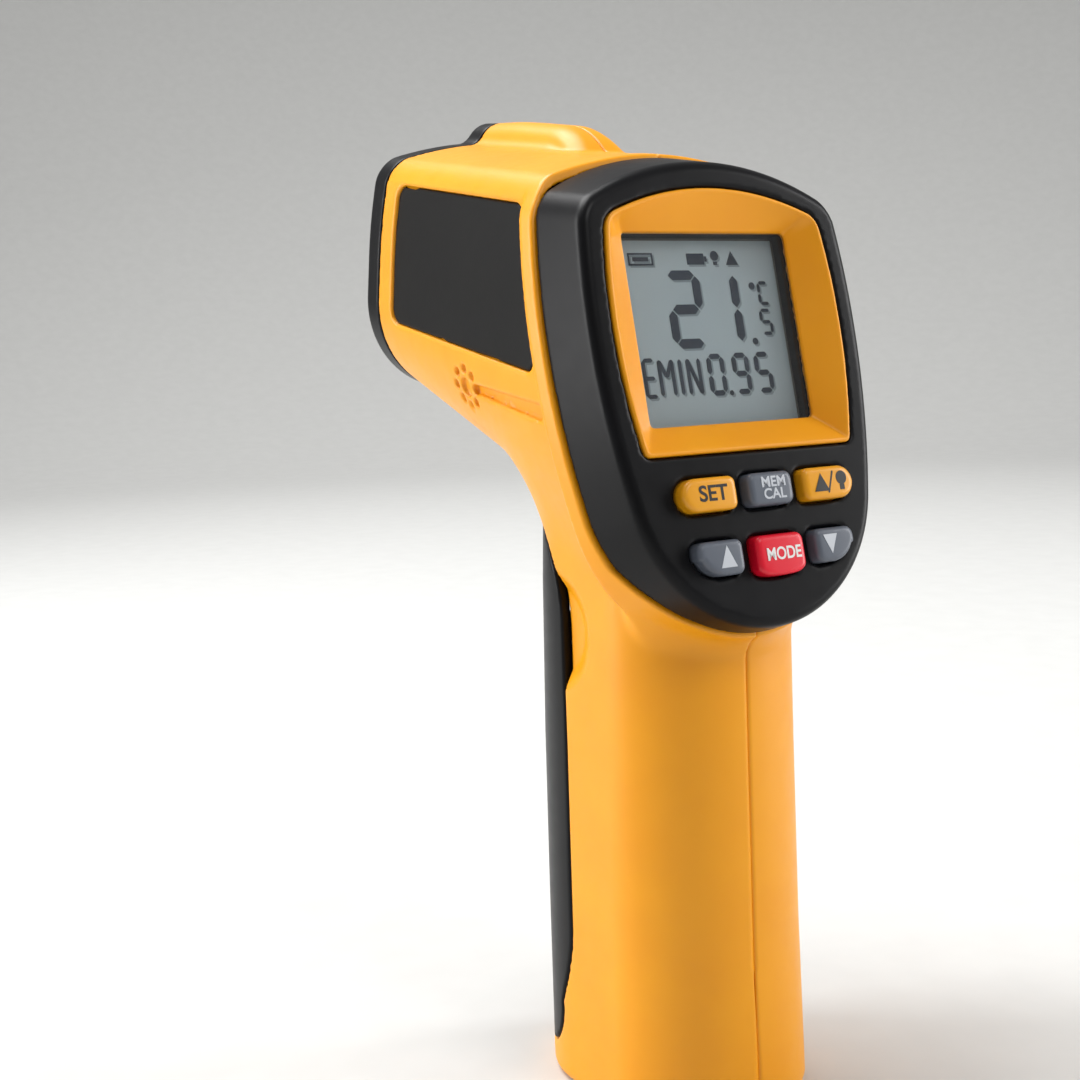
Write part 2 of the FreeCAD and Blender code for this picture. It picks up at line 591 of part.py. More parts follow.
def wire(side):
    """One battery lead: up from the snap, over an arc, and back to the main board."""
    start = Vector(cell_mid + 3, side * 2.5, cell_top + 0.6 + size("snap_thick"))
    bend = 2.8
    rise = Part.LineSegment(start, start + Vector(0, 0, 0.6))
    corner = start + Vector(0, 0, 0.6)
    arc = Part.Arc(corner, corner + Vector(bend * (1 - math.sqrt(0.5)), 0, bend * math.sqrt(0.5)),
                   corner + Vector(bend, 0, bend))
    run = Part.LineSegment(corner + Vector(bend, 0, bend), Vector(board_front, corner.y, corner.z + bend))
    path = Part.Wire([edge.toShape() for edge in (rise, arc, run)])
    ring = Part.Wire([Part.Circle(start, Vector(0, 0, 1), 0.7).toShape()])
    return path.makePipeShell([ring], True, False)


keep(feature("battery_wires", Part.makeCompound([wire(-1), wire(1)])), "battery_wires")

main_frame = Placement(Vector(board_front, 0, 50), Rotation(Vector(1, 1, 1), 120))
keep(block("main_board", main_frame, "sizes.board_wide - 5", "sizes.board_tall - 5",
           "sizes.board_thick"), "main_board")
buzzer_frame = main_frame.multiply(Placement(Vector(0, 12, size("board_thick")), Rotation()))
keep(disc("buzzer", buzzer_frame, "sizes.can_radius * 1.35", "sizes.can_long - 1"), "buzzer")

door_skin = handle(0).cut(handle(-wall)).common(door_region(0)).cut(head(gap))
door_slot = brick((-40, -slot, size("slot_low")), (10, slot, 130))
knuckle_half = size("knuckle_half")
knuckle = rod(hinge.x, hinge.z, -knuckle_half, knuckle_half, size("knuckle_radius"))
web = brick((hinge.x - 6.8, -knuckle_half, hinge.z - 1.2), (hinge.x, knuckle_half, hinge.z + 1.6))
door = door_skin.cut(door_slot).fuse([knuckle, web])
pin_room = rod(hinge.x, hinge.z, -knuckle_half - 1, knuckle_half + 1, size("pin_radius") + seal)
keep(feature("battery_door", door.cut(pin_room)), "battery_door")
hinge_pin = Placement(Vector(hinge.x, -size("pin_half"), hinge.z), SIDEWAYS)
keep(cylinder("door_hinge_pin", hinge_pin, "sizes.pin_radius", "sizes.pin_half * 2"),
     "door_hinge_pin")


# ---------------------------------------------------------------- trigger

pull_half = size("pull_half")
PULL_SIDE = [(-15.8, 102.8), (-21.0, 102.6), (-27.0, 101.0), (-30.0, 94.0), (-30.0, 85.5), (-22.0, 84.2),
             (-17.5, 84.2), (-14.4, 88.0), (-11.6, 95.0), (-7.5, 101.8), (-9.5, 105.6), (-13.0, 105.4)]
finger_face = handle(2.0).common(sideways_prism(PULL_SIDE, pull_half))
boss = rod(pivot.x, pivot.z, -pull_half, pull_half, 2.5)
plunger = brick((-13.0, -2, 92.2), (-6.8, 2, 95.2))
trigger = finger_face.fuse([boss, plunger])
pin_room = rod(pivot.x, pivot.z, -20, 20, size("pull_pin") + seal)
keep(feature("trigger", trigger.cut(pin_room)), "trigger")
keep(cylinder("trigger_pin", Placement(Vector(pivot.x, -12, pivot.z), SIDEWAYS), "sizes.pull_pin",
              "24"), "trigger_pin")
keep(block("trigger_switch", Placement(Vector(-2.6, 0, 91.5), Rotation()), "5.2", "6.4", "8.0"),
     "trigger_switch")
spring_length = 13.2
keep(disc("trigger_spring", Placement(Vector(-spring_length, 0, 88.0), Rotation(Vector(0, 1, 0), 90)),
          "2.2", f"{spring_length}", "1.6"), "trigger_spring")


# ---------------------------------------------------------------- checks and files

doc.recompute()
for obj in doc.Objects:
    if "Invalid" in obj.State or "Error" in obj.State:
        raise RuntimeError(f"{obj.Name} failed: {obj.State}")
for obj in NODES:
    shape = obj.Shape
    if shape.isNull() or not shape.isValid():
        raise RuntimeError(f"{obj.Label} has no valid shape")
os.makedirs("parts", exist_ok=True)
for obj in NODES:
    obj.Shape.exportStep(f"parts/{obj.Label}.step")
    box_size = obj.Shape.BoundBox
    print(f"{obj.Label:22s} solids {len(obj.Shape.Solids)}  volume {obj.Shape.Volume:9.1f}"
          f"  x {box_size.XMin:6.1f} {box_size.XMax:6.1f}  z {box_size.ZMin:6.1f} {box_size.ZMax:6.1f}")
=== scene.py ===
"""Looks of a pistol-grip infrared thermometer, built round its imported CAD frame.

Shapes are written as distance fields in millimetres and netted into closed quad meshes, so neighbouring
mouldings share one form and keep an even shadow gap.  +Z runs up the grip, -X is the aiming side.
"""

import json
import logging
import math
from dataclasses import dataclass, field
from enum import Enum
from typing import Callable, Optional, Sequence

import bpy
import numpy as np
from mathutils import Matrix, Vector

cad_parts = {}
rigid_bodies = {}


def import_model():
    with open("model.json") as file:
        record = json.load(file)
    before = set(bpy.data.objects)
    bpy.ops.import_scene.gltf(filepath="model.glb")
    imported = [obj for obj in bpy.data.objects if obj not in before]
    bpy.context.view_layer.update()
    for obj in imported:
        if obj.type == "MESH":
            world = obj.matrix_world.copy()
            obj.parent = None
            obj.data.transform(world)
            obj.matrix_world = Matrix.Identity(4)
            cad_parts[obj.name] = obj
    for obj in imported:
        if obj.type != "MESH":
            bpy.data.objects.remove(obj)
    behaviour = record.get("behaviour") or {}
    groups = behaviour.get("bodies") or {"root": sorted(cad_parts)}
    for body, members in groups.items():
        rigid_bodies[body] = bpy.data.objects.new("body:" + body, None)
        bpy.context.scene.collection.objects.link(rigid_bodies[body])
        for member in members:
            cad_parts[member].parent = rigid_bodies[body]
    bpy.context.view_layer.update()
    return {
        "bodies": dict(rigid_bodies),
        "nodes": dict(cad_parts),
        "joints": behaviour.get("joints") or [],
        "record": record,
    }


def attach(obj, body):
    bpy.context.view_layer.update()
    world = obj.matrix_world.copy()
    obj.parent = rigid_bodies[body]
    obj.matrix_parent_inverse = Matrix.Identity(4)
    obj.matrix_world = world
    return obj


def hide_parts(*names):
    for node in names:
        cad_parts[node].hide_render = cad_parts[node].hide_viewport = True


LOG = logging.getLogger("thermometer")
MM = 0.001
BODY = "housing"
# Colour sockets of Blender's Mix node, which shares their names with its number sockets.
COLOUR_A, COLOUR_B, COLOUR_OUT = 6, 7, 2
Array = np.ndarray
Field = Callable[[Array, Array, Array], Array]


# ------------------------------------------------------------------ field arithmetic

def both(a: Array, b: Array, radius: float = 0.0) -> Array:
    """Intersection of two fields with its edge rounded.

    Args:
        a: First field, negative inside.
        b: Second field.
        radius: Edge radius in millimetres, one value or a field of them.

    Returns:
        The field of the common volume.
    """
    outer = np.hypot(np.maximum(a + radius, 0), np.maximum(b + radius, 0))
    return np.minimum(-radius, np.maximum(a, b)) + outer


def either(a: Array, b: Array, radius: float = 0.0) -> Array:
    """Union of two fields with a fillet where they meet."""
    return -both(-a, -b, radius)


def without(a: Array, b: Array, radius: float = 0.0) -> Array:
    """The first field with the second cut away and the new edge rounded."""
    return both(a, -b, radius)


def smooth(value: Array, low: float, high: float) -> Array:
    """A smooth ramp from 0 at low to 1 at high."""
    t = np.clip((value - low) / (high - low), 0, 1)
    return t * t * (3 - 2 * t)


def slab(value: Array, low: float, high: float) -> Array:
    """Field of the space between two planes."""
    return np.abs(value - (low + high) / 2) - (high - low) / 2


def rectangle(a: Array, b: Array, half_a: float, half_b: float, radius: float) -> Array:
    """Field of a rounded rectangle centred on the origin of its plane."""
    return both(np.abs(a) - half_a, np.abs(b) - half_b, radius)


def rod(a: Array, b: Array, centre: Sequence[float], radius: float) -> Array:
    """Field of an endless round bar seen end-on."""
    return np.hypot(a - centre[0], b - centre[1]) - radius


def polygon(a: Array, b: Array, corners: Sequence[Sequence[float]], radius: float) -> Array:
    """Field of a convex polygon given clockwise or anticlockwise, with rounded corners.

    Args:
        a: First coordinate in the plane.
        b: Second coordinate in the plane.
        corners: Corners in order, either way round.
        radius: Radius of every corner.

    Returns:
        The field, negative inside.
    """
    middle = np.mean(np.array(corners), axis=0)
    shape = None
    for (a0, b0), (a1, b1) in zip(corners, list(corners[1:]) + [corners[0]]):
        length = math.hypot(a1 - a0, b1 - b0)
        normal = ((b1 - b0) / length, (a0 - a1) / length)
        if (middle[0] - a0) * normal[0] + (middle[1] - b0) * normal[1] > 0:
            normal = (-normal[0], -normal[1])
        side = (a - a0) * normal[0] + (b - b0) * normal[1]
        shape = side if shape is None else both(shape, side, radius)
    return shape


# ------------------------------------------------------------------ frames

@dataclass(frozen=True)
class Tilt:
    """A frame hung on the display centre and pitched about Y.

    Local axes are (across, up, out): across is world Y, out is near world X.
    """
    degrees: float
    back: float = 22.2
    high: float = 134.0

    def local(self, x: Array, y: Array, z: Array) -> tuple[Array, Array, Array]:
        """World millimetres to (across, up, out).

        Args:
            x: World X in millimetres.
            y: World Y in millimetres.
            z: World Z in millimetres.

        Returns:
            Millimetres across, up and out.
        """
        c, s = math.cos(math.radians(self.degrees)), math.sin(math.radians(self.degrees))
        dx, dz = x - self.back, z - self.high
        return y, dz * c - dx * s, dx * c + dz * s

    def world(self, across: Array, up: Array, out: Array) -> tuple[Array, Array, Array]:
        """(across, up, out) to world millimetres."""
        c, s = math.cos(math.radians(self.degrees)), math.sin(math.radians(self.degrees))
        return self.back + out * c - up * s, across, self.high + out * s + up * c

    def matrix(self, across: float, up: float, out: float) -> Matrix:
        """Object matrix in metres whose X is across, Y is up and Z is out.

        Args:
            across: Millimetres across.
            up: Millimetres up.
            out: Millimetres out.

        Returns:
            The matrix, in metres.
        """
        c, s = math.cos(math.radians(self.degrees)), math.sin(math.radians(self.degrees))
        x, y, z = self.world(across, up, out)
        turn = Matrix(((0, -s, c, 0), (1, 0, 0, 0), (0, c, s, 0), (0, 0, 0, 1)))
        return Matrix.Translation(Vector((x, y, z)) * MM) @ turn


FACE = Tilt(12.0)
AIM = Tilt(-10.0)
LEVEL = Tilt(0.0, 0.0, 0.0)


# ------------------------------------------------------------------ surface net

CORNERS = np.array([(i, j, k) for i in (0, 1) for j in (0, 1) for k in (0, 1)])
CELL_EDGES = [(a, b) for a in range(8) for b in range(a + 1, 8)
              if np.abs(CORNERS[a] - CORNERS[b]).sum() == 1]


@dataclass(frozen=True)
class Net:
    """Turns a field into a quad mesh on a grid laid along one frame."""
    tilt: Tilt
    low: tuple[float, float, float]
    high: tuple[float, float, float]
    step: float

    def mesh(self, name: str, shape: Field) -> bpy.types.Object:
        """Net a field.

        Args:
            name: Name of the new object.
            shape: Field over world millimetres, negative inside.

        Returns:
            A smooth-shaded object whose vertices are in world metres.
        """
        axes = [np.arange(lo, hi + self.step, self.step) for lo, hi in zip(self.low, self.high)]
        grid = self.tilt.world(axes[0][:, None, None], axes[1][None, :, None], axes[2][None, None, :])
        values = shape(*grid) + np.zeros([len(a) for a in axes])
        cells, quads = self._cells(values)
        local = np.array(self.low) + cells * self.step
        points = np.stack(np.broadcast_arrays(*self.tilt.world(*local.T)), axis=1)
        points = settle(points, shape, self.step, 3)
        for _ in range(3):
            points = relax(points, quads, shape)
            points = settle(points, shape, self.step, 2)
        return mesh_object(name, points * MM, quads)

    def _cells(self, values: Array) -> tuple[Array, Array]:
        """One point in each cell that the surface crosses, and a quad across each crossed edge.

        Args:
            values: Field at every grid point.

        Returns:
            The points in units of a cell, and four point numbers for each quad.
        """
        inside = values < 0
        size = np.array(values.shape) - 1
        count = np.zeros(size, np.int8)
        for i, j, k in CORNERS:
            count += inside[i:i + size[0], j:j + size[1], k:k + size[2]]
        mixed = (count > 0) & (count < 8)
        cells = np.argwhere(mixed)
        number = np.full(size, -1)
        number[mixed] = np.arange(len(cells))
        corner = np.stack([values[tuple((cells + c).T)] for c in CORNERS], axis=1)
        total, hits = np.zeros((len(cells), 3)), np.zeros(len(cells))
        for a, b in CELL_EDGES:
            crossed = (corner[:, a] < 0) != (corner[:, b] < 0)
            span = np.where(crossed, corner[:, a] - corner[:, b], 1.0)
            share = np.where(crossed, corner[:, a] / span, 0.0)
            point = CORNERS[a] + share[:, None] * (CORNERS[b] - CORNERS[a])
            total += np.where(crossed[:, None], point, 0.0)
            hits += crossed
        quads = [self._edge_quads(inside, number, size, axis) for axis in range(3)]
        return cells + total / hits[:, None], np.concatenate(quads)

    @staticmethod
    def _edge_quads(inside: Array, number: Array, size: Array, axis: int) -> Array:
        """Quads round the grid edges along one axis, facing out of the solid.

        Args:
            inside: Which grid points are inside.
            number: Point number of each cell.
            size: Number of cells along each axis.
            axis: Axis whose edges are searched.

        Returns:
            Four point numbers for each quad.
        """
        first = np.moveaxis(inside, axis, 0)
        nodes = np.argwhere(first[:-1] != first[1:])
        others = [a for a in range(3) if a != axis]
        nodes = np.insert(nodes[:, 1:], axis, nodes[:, 0], axis=1)
        side_a, side_b = (axis + 1) % 3, (axis + 2) % 3
        fits = np.all((nodes[:, others] > 0) & (nodes[:, others] < size[others]), axis=1)
        nodes = nodes[fits]
        unit = np.eye(3, dtype=int)
        ring = [-unit[side_a] - unit[side_b], -unit[side_b], 0 * unit[0], -unit[side_a]]
        quads = np.stack([number[tuple((nodes + shift).T)] for shift in ring], axis=1)
        leaves = inside[tuple(nodes.T)]
        quads[~leaves] = quads[~leaves][:, ::-1]
        return quads


def slope(points: Array, shape: Field) -> Array:
    """Gradient of a field at points, by central differences.

    Args:
        points: Points in world millimetres.
        shape: Field to measure.

    Returns:
        One vector for each point.
    """
    reach = 0.02
    out = np.empty_like(points)
    for axis in range(3):
        step = np.zeros(3)
        step[axis] = reach
        out[:, axis] = (shape(*(points + step).T) - shape(*(points - step).T)) / (2 * reach)
    return out


def settle(points: Array, shape: Field, limit: float, rounds: int) -> Array:
    """Pull points onto the zero surface of a field by Newton steps.

    Args:
        points: Points in world millimetres.
        shape: Field whose zero surface is sought.
        limit: Twice the longest move of one step.
        rounds: Number of steps.

    Returns:
        The moved points.
    """
    for _ in range(rounds):
        gradient = slope(points, shape)
        square = np.maximum((gradient ** 2).sum(axis=1), 0.05)
        move = -(shape(*points.T) / square)[:, None] * gradient
        length = np.linalg.norm(move, axis=1, keepdims=True)
        points = points + move * np.minimum(1.0, limit * 0.5 / np.maximum(length, 1e-9))
    return points


def relax(points: Array, quads: Array, shape: Field) -> Array:
    """Even out the quads by sliding each point along the surface towards its neighbours' mean.

    Args:
        points: Points in world millimetres.
        quads: Four point numbers for each quad.
        shape: Field whose surface the points lie on.

    Returns:
        The moved points.
    """
    pairs = np.concatenate([quads[:, [k, (k + 1) % 4]] for k in range(4)])
    pairs = np.concatenate([pairs, pairs[:, ::-1]])
    count = np.bincount(pairs[:, 0], minlength=len(points))
    total = np.stack([np.bincount(pairs[:, 0], points[pairs[:, 1], axis], len(points))
                      for axis in range(3)], axis=1)
    move = total / np.maximum(count, 1)[:, None] - points
    normal = slope(points, shape)
    normal /= np.maximum(np.linalg.norm(normal, axis=1, keepdims=True), 1e-6)
    move -= normal * (move * normal).sum(axis=1, keepdims=True)
    return points + 0.5 * move


def mesh_object(name: str, points: Array, faces: Array) -> bpy.types.Object:
    """A linked, smooth-shaded object from arrays of points in metres and faces.

    Args:
        name: Name of the object and its mesh.
        points: Points in metres.
        faces: Point numbers of each face, all with the same number of corners.

    Returns:
        The new object.
    """
    mesh = bpy.data.meshes.new(name)
    mesh.vertices.add(len(points))
    mesh.vertices.foreach_set("co", np.asarray(points, np.float32).ravel())
    sides = faces.shape[1]
    mesh.loops.add(faces.size)
    mesh.loops.foreach_set("vertex_index", faces.ravel().astype(np.int32))
    mesh.polygons.add(len(faces))
    mesh.polygons.foreach_set("loop_start", np.arange(0, faces.size, sides, dtype=np.int32))
    mesh.polygons.foreach_set("use_smooth", np.ones(len(faces), bool))
    mesh.update(calc_edges=True)
    mesh.validate()
    obj = bpy.data.objects.new(name, mesh)
    bpy.context.scene.collection.objects.link(obj)
    return obj


# ------------------------------------------------------------------ the shared outer form

@dataclass(frozen=True)
class OuterForm:
    """The surfaces that the mouldings share, as fields in millimetres."""
    nose_join: float = -73.5
    wall: float = 2.2
    gap: float = 0.3
    hinge: tuple[float, float] = (-15.5, 13.0)
    head_half: float = 27.0
    head_long: float = 61.5
    roof: float = 24.6
    floor: float = 23.8
    ridge_top: float = 29.2
    ridge_end: float = -50.5
    flank_arc: float = 145.0
    flank_half: float = 27.5
    arch_arc: float = 50.0
    arch_top: float = 27.0
    foot_level: float = -25.0

    def head(self, x: Array, y: Array, z: Array) -> Array:
        """The long box of the head, endless fore and aft.

        Args:
            x: World X in millimetres.
            y: World Y in millimetres.
            z: World Z in millimetres.

        Returns:
            The field, negative inside.
        """
        a, t, r = AIM.local(x, y, z)
        a = np.abs(a)
        along = np.clip((r - self.nose_join) / self.head_long, 0, 1.15)
        side = a - self.head_half - 0.4 * along + np.maximum(t - 2, 0) ** 2 / 224
        roof = (t + a ** 2 / 144 - self.roof - 0.9 * along) / np.sqrt(1 + (a / 72) ** 2)
        floor = (-t - self.floor - 15.6 * along) * 0.97
        return both(both(side, floor, 18.0 + 7.0 * along), roof, 3.6)

    def hump(self, x: Array, y: Array, z: Array) -> Array:
        """The low ridge over the aiming light, ramped down at its rear end.

        Args:
            x: World X in millimetres.
            y: World Y in millimetres.
            z: World Z in millimetres.

        Returns:
            The field, negative inside.
        """
        a, t, r = AIM.local(x, y, z)
        fall = np.maximum(r - self.ridge_end, 0)
        dip = 0.9 * smooth(-r, 62, 80)
        top = (t - self.ridge_top + dip + fall ** 2 / 30) / np.sqrt(1 + (np.minimum(fall, 14) / 15) ** 2)
        flank = (np.abs(a) + 0.35 * (t - 26) - 5.7) / 1.06
        return np.maximum(both(flank, top, 3.0), 18 - t)

    def handle(self, x: Array, y: Array, z: Array) -> Array:
        """The grip: flat flanks between two half ellipses, standing on a flat base.

        Args:
            x: World X in millimetres.
            y: World Y in millimetres.
            z: World Z in millimetres.

        Returns:
            The field, negative inside.
        """
        levels = (0, 30, 62, 90, 114)
        back = np.interp(z, levels, (24.6, 23.9, 23.8, 23.8, 20.4)) - 9.3
        front = -np.interp(z, levels, (-23.4, -24.2, -23.8, -21.8, -19.0)) - 4.5
        half = np.interp(z, levels, (19.2, 18.7, 18.5, 18.5, 18.2))
        reach = np.where(x > 0, back, front)
        ahead = np.maximum(np.maximum(x - 9.3, -4.5 - x), 0) / reach
        size = np.hypot(ahead, y / half)
        side = size * (size - 1) / np.maximum(np.hypot(ahead / reach, y / half ** 2), 1e-6)
        return np.maximum(both(side, -z, 1.8), z - 122)

    def split(self, up: Array) -> Array:
        """Depth behind the display face at which black bezel meets orange shell."""
        return np.interp(up, (-60, -47.8, -43, -37, -30, 80), (-5, -6.4, -8.2, -11, -12, -12))

    def outline(self, across: Array, up: Array, out: Array) -> Array:
        """Display outline: bowed sides run into a round foot below and a shallow arch above.

        Args:
            across: Millimetres across the display.
            up: Millimetres up the display.
            out: Millimetres out of the display face.

        Returns:
            The field, negative inside.
        """
        out = np.clip(out, -16, 2)
        u = np.abs(across)
        offset, foot = self.flank_arc - self.flank_half + 0.1125 * out, self.foot_level
        foot_radius = self.flank_arc - np.hypot(offset, foot)
        side = np.hypot(u + offset, up) - self.flank_arc
        below = up * offset - foot * (u + offset) < 0
        side = np.where(below, np.hypot(u, up - foot) - foot_radius, side)
        arch = np.hypot(u, up - (self.arch_top - 0.4 * out - self.arch_arc)) - self.arch_arc
        return both(side, arch, 2.6)

    def rim(self, x: Array, y: Array, z: Array) -> Array:
        """Raised orange band that carries the bezel."""
        u, v, w = FACE.local(x, y, z)
        return both(self.outline(u, v, w) - 0.55, -15.5 - w, 0.7)

    def body(self, x: Array, y: Array, z: Array) -> Array:
        """Everything orange as one form, left open fore and aft.

        Args:
            x: World X in millimetres.
            y: World Y in millimetres.
            z: World Z in millimetres.

        Returns:
            The field, negative inside.
        """
        _, v, _ = FACE.local(x, y, z)
        _, _, r = AIM.local(x, y, z)
        form = either(self.head(x, y, z), self.handle(x, y, z), 9.0)
        form = either(form, self.hump(x, y, z), 1.8 - 1.4 * smooth(r, -50, -43))
        return either(form, self.rim(x, y, z), 0.45 + 3.0 * smooth(-v, 30, 46))

    def door_side(self, x: Array, z: Array) -> Array:
        """Side outline of the battery door.

        Args:
            x: World X in millimetres.
            z: World Z in millimetres.

        Returns:
            The field, negative inside.
        """
        corners = [(-24.4, -30), (-7.2, 13), (-3.6, 22), (-3.6, 89), (-6.0, 95), (-9, 99.8), (-13.2, 104.8),
                   (-21, 108.3), (-60, 120), (-60, -30)]
        upper = np.maximum(polygon(x, z, corners, 2.0), self.hinge[1] - z)
        return np.minimum(upper, rod(x, z, self.hinge, 8.3))

    def scoop(self, x: Array, y: Array, z: Array) -> Array:
        """Dish beside the door where a fingertip pulls it open."""
        rim = rod(x, z, (-6.0, 82.0), 10.4)
        return np.maximum(rim, -self.handle(x, y, z) - np.clip(-rim * 0.55, 0, 1.6))

    def panel_side(self, x: Array, z: Array) -> Array:
        """Side outline of the dark panels in the flanks of the head.

        Args:
            x: World X in millimetres.
            z: World Z in millimetres.

        Returns:
            The field, negative inside.
        """
        _, t, r = AIM.local(x, 0 * x, z)
        corners = [(-68.7, 16.6), (-24.0, 16.8), (-16.4, -10.4), (-68.2, -9.1)]
        return polygon(r, t, corners, 2.6)


FORM = OuterForm()


# ------------------------------------------------------------------ finishes

def linear(code: str) -> tuple[float, float, float, float]:
    """Turn a hex sRGB colour into the linear colour a shader socket takes.

    Args:
        code: Six hex digits after a hash sign.

    Returns:
        Linear red, green, blue and an alpha of one.
    """
    parts = [int(code[i:i + 2], 16) / 255 for i in (1, 3, 5)]
    red, green, blue = [c / 12.92 if c <= 0.04045 else ((c + 0.055) / 1.055) ** 2.4 for c in parts]
    return red, green, blue, 1.0


def add(tree: bpy.types.NodeTree, kind: str, settings: Optional[dict] = None,
        inputs: Optional[dict] = None) -> bpy.types.Node:
    """Add one shader node, set it and link it.

    Args:
        tree: Node tree to add to.
        kind: Blender's node type name.
        settings: Node properties.
        inputs: Input socket name or index to a value or an output socket.

    Returns:
        The new node.
    """
    made = tree.nodes.new(kind)
    for key, value in (settings or {}).items():
        setattr(made, key, value)
    connect(tree, made, inputs or {})
    return made


@dataclass(frozen=True)
class Plastic:
    """Injection-moulded plastic with a spark-eroded grain and slight flow mottling."""
    name: str
    colour: str
    shade: str
    roughness: float = 0.42
    spread: float = 0.06
    grain: float = 0.28
    depth: float = 0.006
    specular: float = 0.5
    subsurface: float = 0.0

    def material(self) -> bpy.types.Material:
        """Build the material: broad flow marks tint it, finer ones vary its gloss, and the grain is relief.

        Returns:
            The new material.
        """
        made, tree, shader, where = blank(self.name)
        flow = add(tree, "ShaderNodeTexNoise", None, {"Vector": where, "Scale": 1 / 14.0, "Detail": 2.0})
        mottle = add(tree, "ShaderNodeMapRange", None, {
            "Value": flow.outputs["Fac"], "From Min": 0.3, "From Max": 0.7, "To Min": 0.0, "To Max": 1.0})
        tinted = add(tree, "ShaderNodeMix", {"data_type": "RGBA"}, {
            "Factor": mottle.outputs["Result"], COLOUR_A: linear(self.colour), COLOUR_B: linear(self.shade)})
        patches = add(tree, "ShaderNodeTexNoise", None, {"Vector": where, "Scale": 1 / 3.0, "Detail": 4.0})
        gloss = add(tree, "ShaderNodeMapRange", None, {
            "Value": patches.outputs["Fac"], "From Min": 0.3, "From Max": 0.7,
            "To Min": self.roughness - self.spread, "To Max": self.roughness + self.spread})
        erosion = add(tree, "ShaderNodeTexNoise", None, {
            "Vector": where, "Scale": 1 / self.grain, "Detail": 3.0})
        relief = add(tree, "ShaderNodeBump", None, {
            "Height": erosion.outputs["Fac"], "Strength": 1.0, "Distance": self.depth * MM})
        connect(tree, shader, {
            "Base Color": tinted.outputs[COLOUR_OUT], "Roughness": gloss.outputs["Result"],
            "Normal": relief.outputs["Normal"], "Specular IOR Level": self.specular,
            "Subsurface Weight": self.subsurface, "Subsurface Radius": (1.0, 0.45, 0.12),
            "Subsurface Scale": 1.2 * MM})
        return made


@dataclass(frozen=True)
class Metal:
    """Bare or plated metal with fine turning marks along one axis."""
    name: str
    colour: str
    shade: str
    roughness: float = 0.28
    stretch: tuple[float, float, float] = (0.4, 0.4, 9.0)

    def material(self) -> bpy.types.Material:
        """Build the material: one stretched noise makes the marks in colour, gloss and relief.

        Returns:
            The new material.
        """
        made, tree, shader, where = blank(self.name)
        squeezed = add(tree, "ShaderNodeVectorMath", {"operation": "MULTIPLY"}, {0: where, 1: self.stretch})
        marks = add(tree, "ShaderNodeTexNoise", None, {
            "Vector": squeezed.outputs[0], "Scale": 1.0, "Detail": 3.0})
        tinted = add(tree, "ShaderNodeMix", {"data_type": "RGBA"}, {
            "Factor": marks.outputs["Fac"], COLOUR_A: linear(self.colour), COLOUR_B: linear(self.shade)})
        gloss = add(tree, "ShaderNodeMapRange", None, {
            "Value": marks.outputs["Fac"], "From Min": 0.3, "From Max": 0.7,
            "To Min": self.roughness - 0.06, "To Max": self.roughness + 0.1})
        relief = add(tree, "ShaderNodeBump", None, {
            "Height": marks.outputs["Fac"], "Strength": 1.0, "Distance": 0.004 * MM})
        connect(tree, shader, {
            "Base Color": tinted.outputs[COLOUR_OUT], "Metallic": 1.0,
            "Roughness": gloss.outputs["Result"], "Normal": relief.outputs["Normal"]})
        return made


@dataclass(frozen=True)
class Clear:
    """Polished clear or milky optical plastic with the faintest haze."""
    name: str
    colour: str
    shade: str
    roughness: float = 0.03
    transmission: float = 1.0
    index: float = 1.49

    def material(self) -> bpy.types.Material:
        """Build the material: a faint haze varies its colour and gloss.

        Returns:
            The new material.
        """
        made, tree, shader, where = blank(self.name)
        haze = add(tree, "ShaderNodeTexNoise", None, {"Vector": where, "Scale": 1 / 5.0, "Detail": 2.0})
        tinted = add(tree, "ShaderNodeMix", {"data_type": "RGBA"}, {
            "Factor": haze.outputs["Fac"], COLOUR_A: linear(self.colour), COLOUR_B: linear(self.shade)})
        gloss = add(tree, "ShaderNodeMapRange", None, {
            "Value": haze.outputs["Fac"], "From Min": 0.3, "From Max": 0.7,
            "To Min": self.roughness, "To Max": self.roughness + 0.02})
        connect(tree, shader, {
            "Base Color": tinted.outputs[COLOUR_OUT], "Roughness": gloss.outputs["Result"],
            "Transmission Weight": self.transmission, "IOR": self.index})
        return made


@dataclass(frozen=True)
class Laminate:
    """Solder-masked glass laminate whose weave shows faintly through the mask."""
    name: str
    colour: str
    shade: str

    def material(self) -> bpy.types.Material:
        """Build the material: a half-millimetre weave under an uneven mask.

        Returns:
            The new material.
        """
        made, tree, shader, where = blank(self.name)
        weave = add(tree, "ShaderNodeTexChecker", None, {"Vector": where, "Scale": 1 / 0.5})
        tinted = add(tree, "ShaderNodeMix", {"data_type": "RGBA"}, {
            "Factor": weave.outputs["Fac"], COLOUR_A: linear(self.colour), COLOUR_B: linear(self.shade)})
        mask = add(tree, "ShaderNodeTexNoise", None, {"Vector": where, "Scale": 1 / 2.0, "Detail": 2.0})
        gloss = add(tree, "ShaderNodeMapRange", None, {
            "Value": mask.outputs["Fac"], "From Min": 0.3, "From Max": 0.7, "To Min": 0.3, "To Max": 0.42})
        threads = add(tree, "ShaderNodeTexNoise", None, {"Vector": where, "Scale": 1 / 0.6, "Detail": 2.0})
        relief = add(tree, "ShaderNodeBump", None, {
            "Height": threads.outputs["Fac"], "Strength": 1.0, "Distance": 0.01 * MM})
        connect(tree, shader, {
            "Base Color": tinted.outputs[COLOUR_OUT], "Roughness": gloss.outputs["Result"],
            "Normal": relief.outputs["Normal"]})
        return made


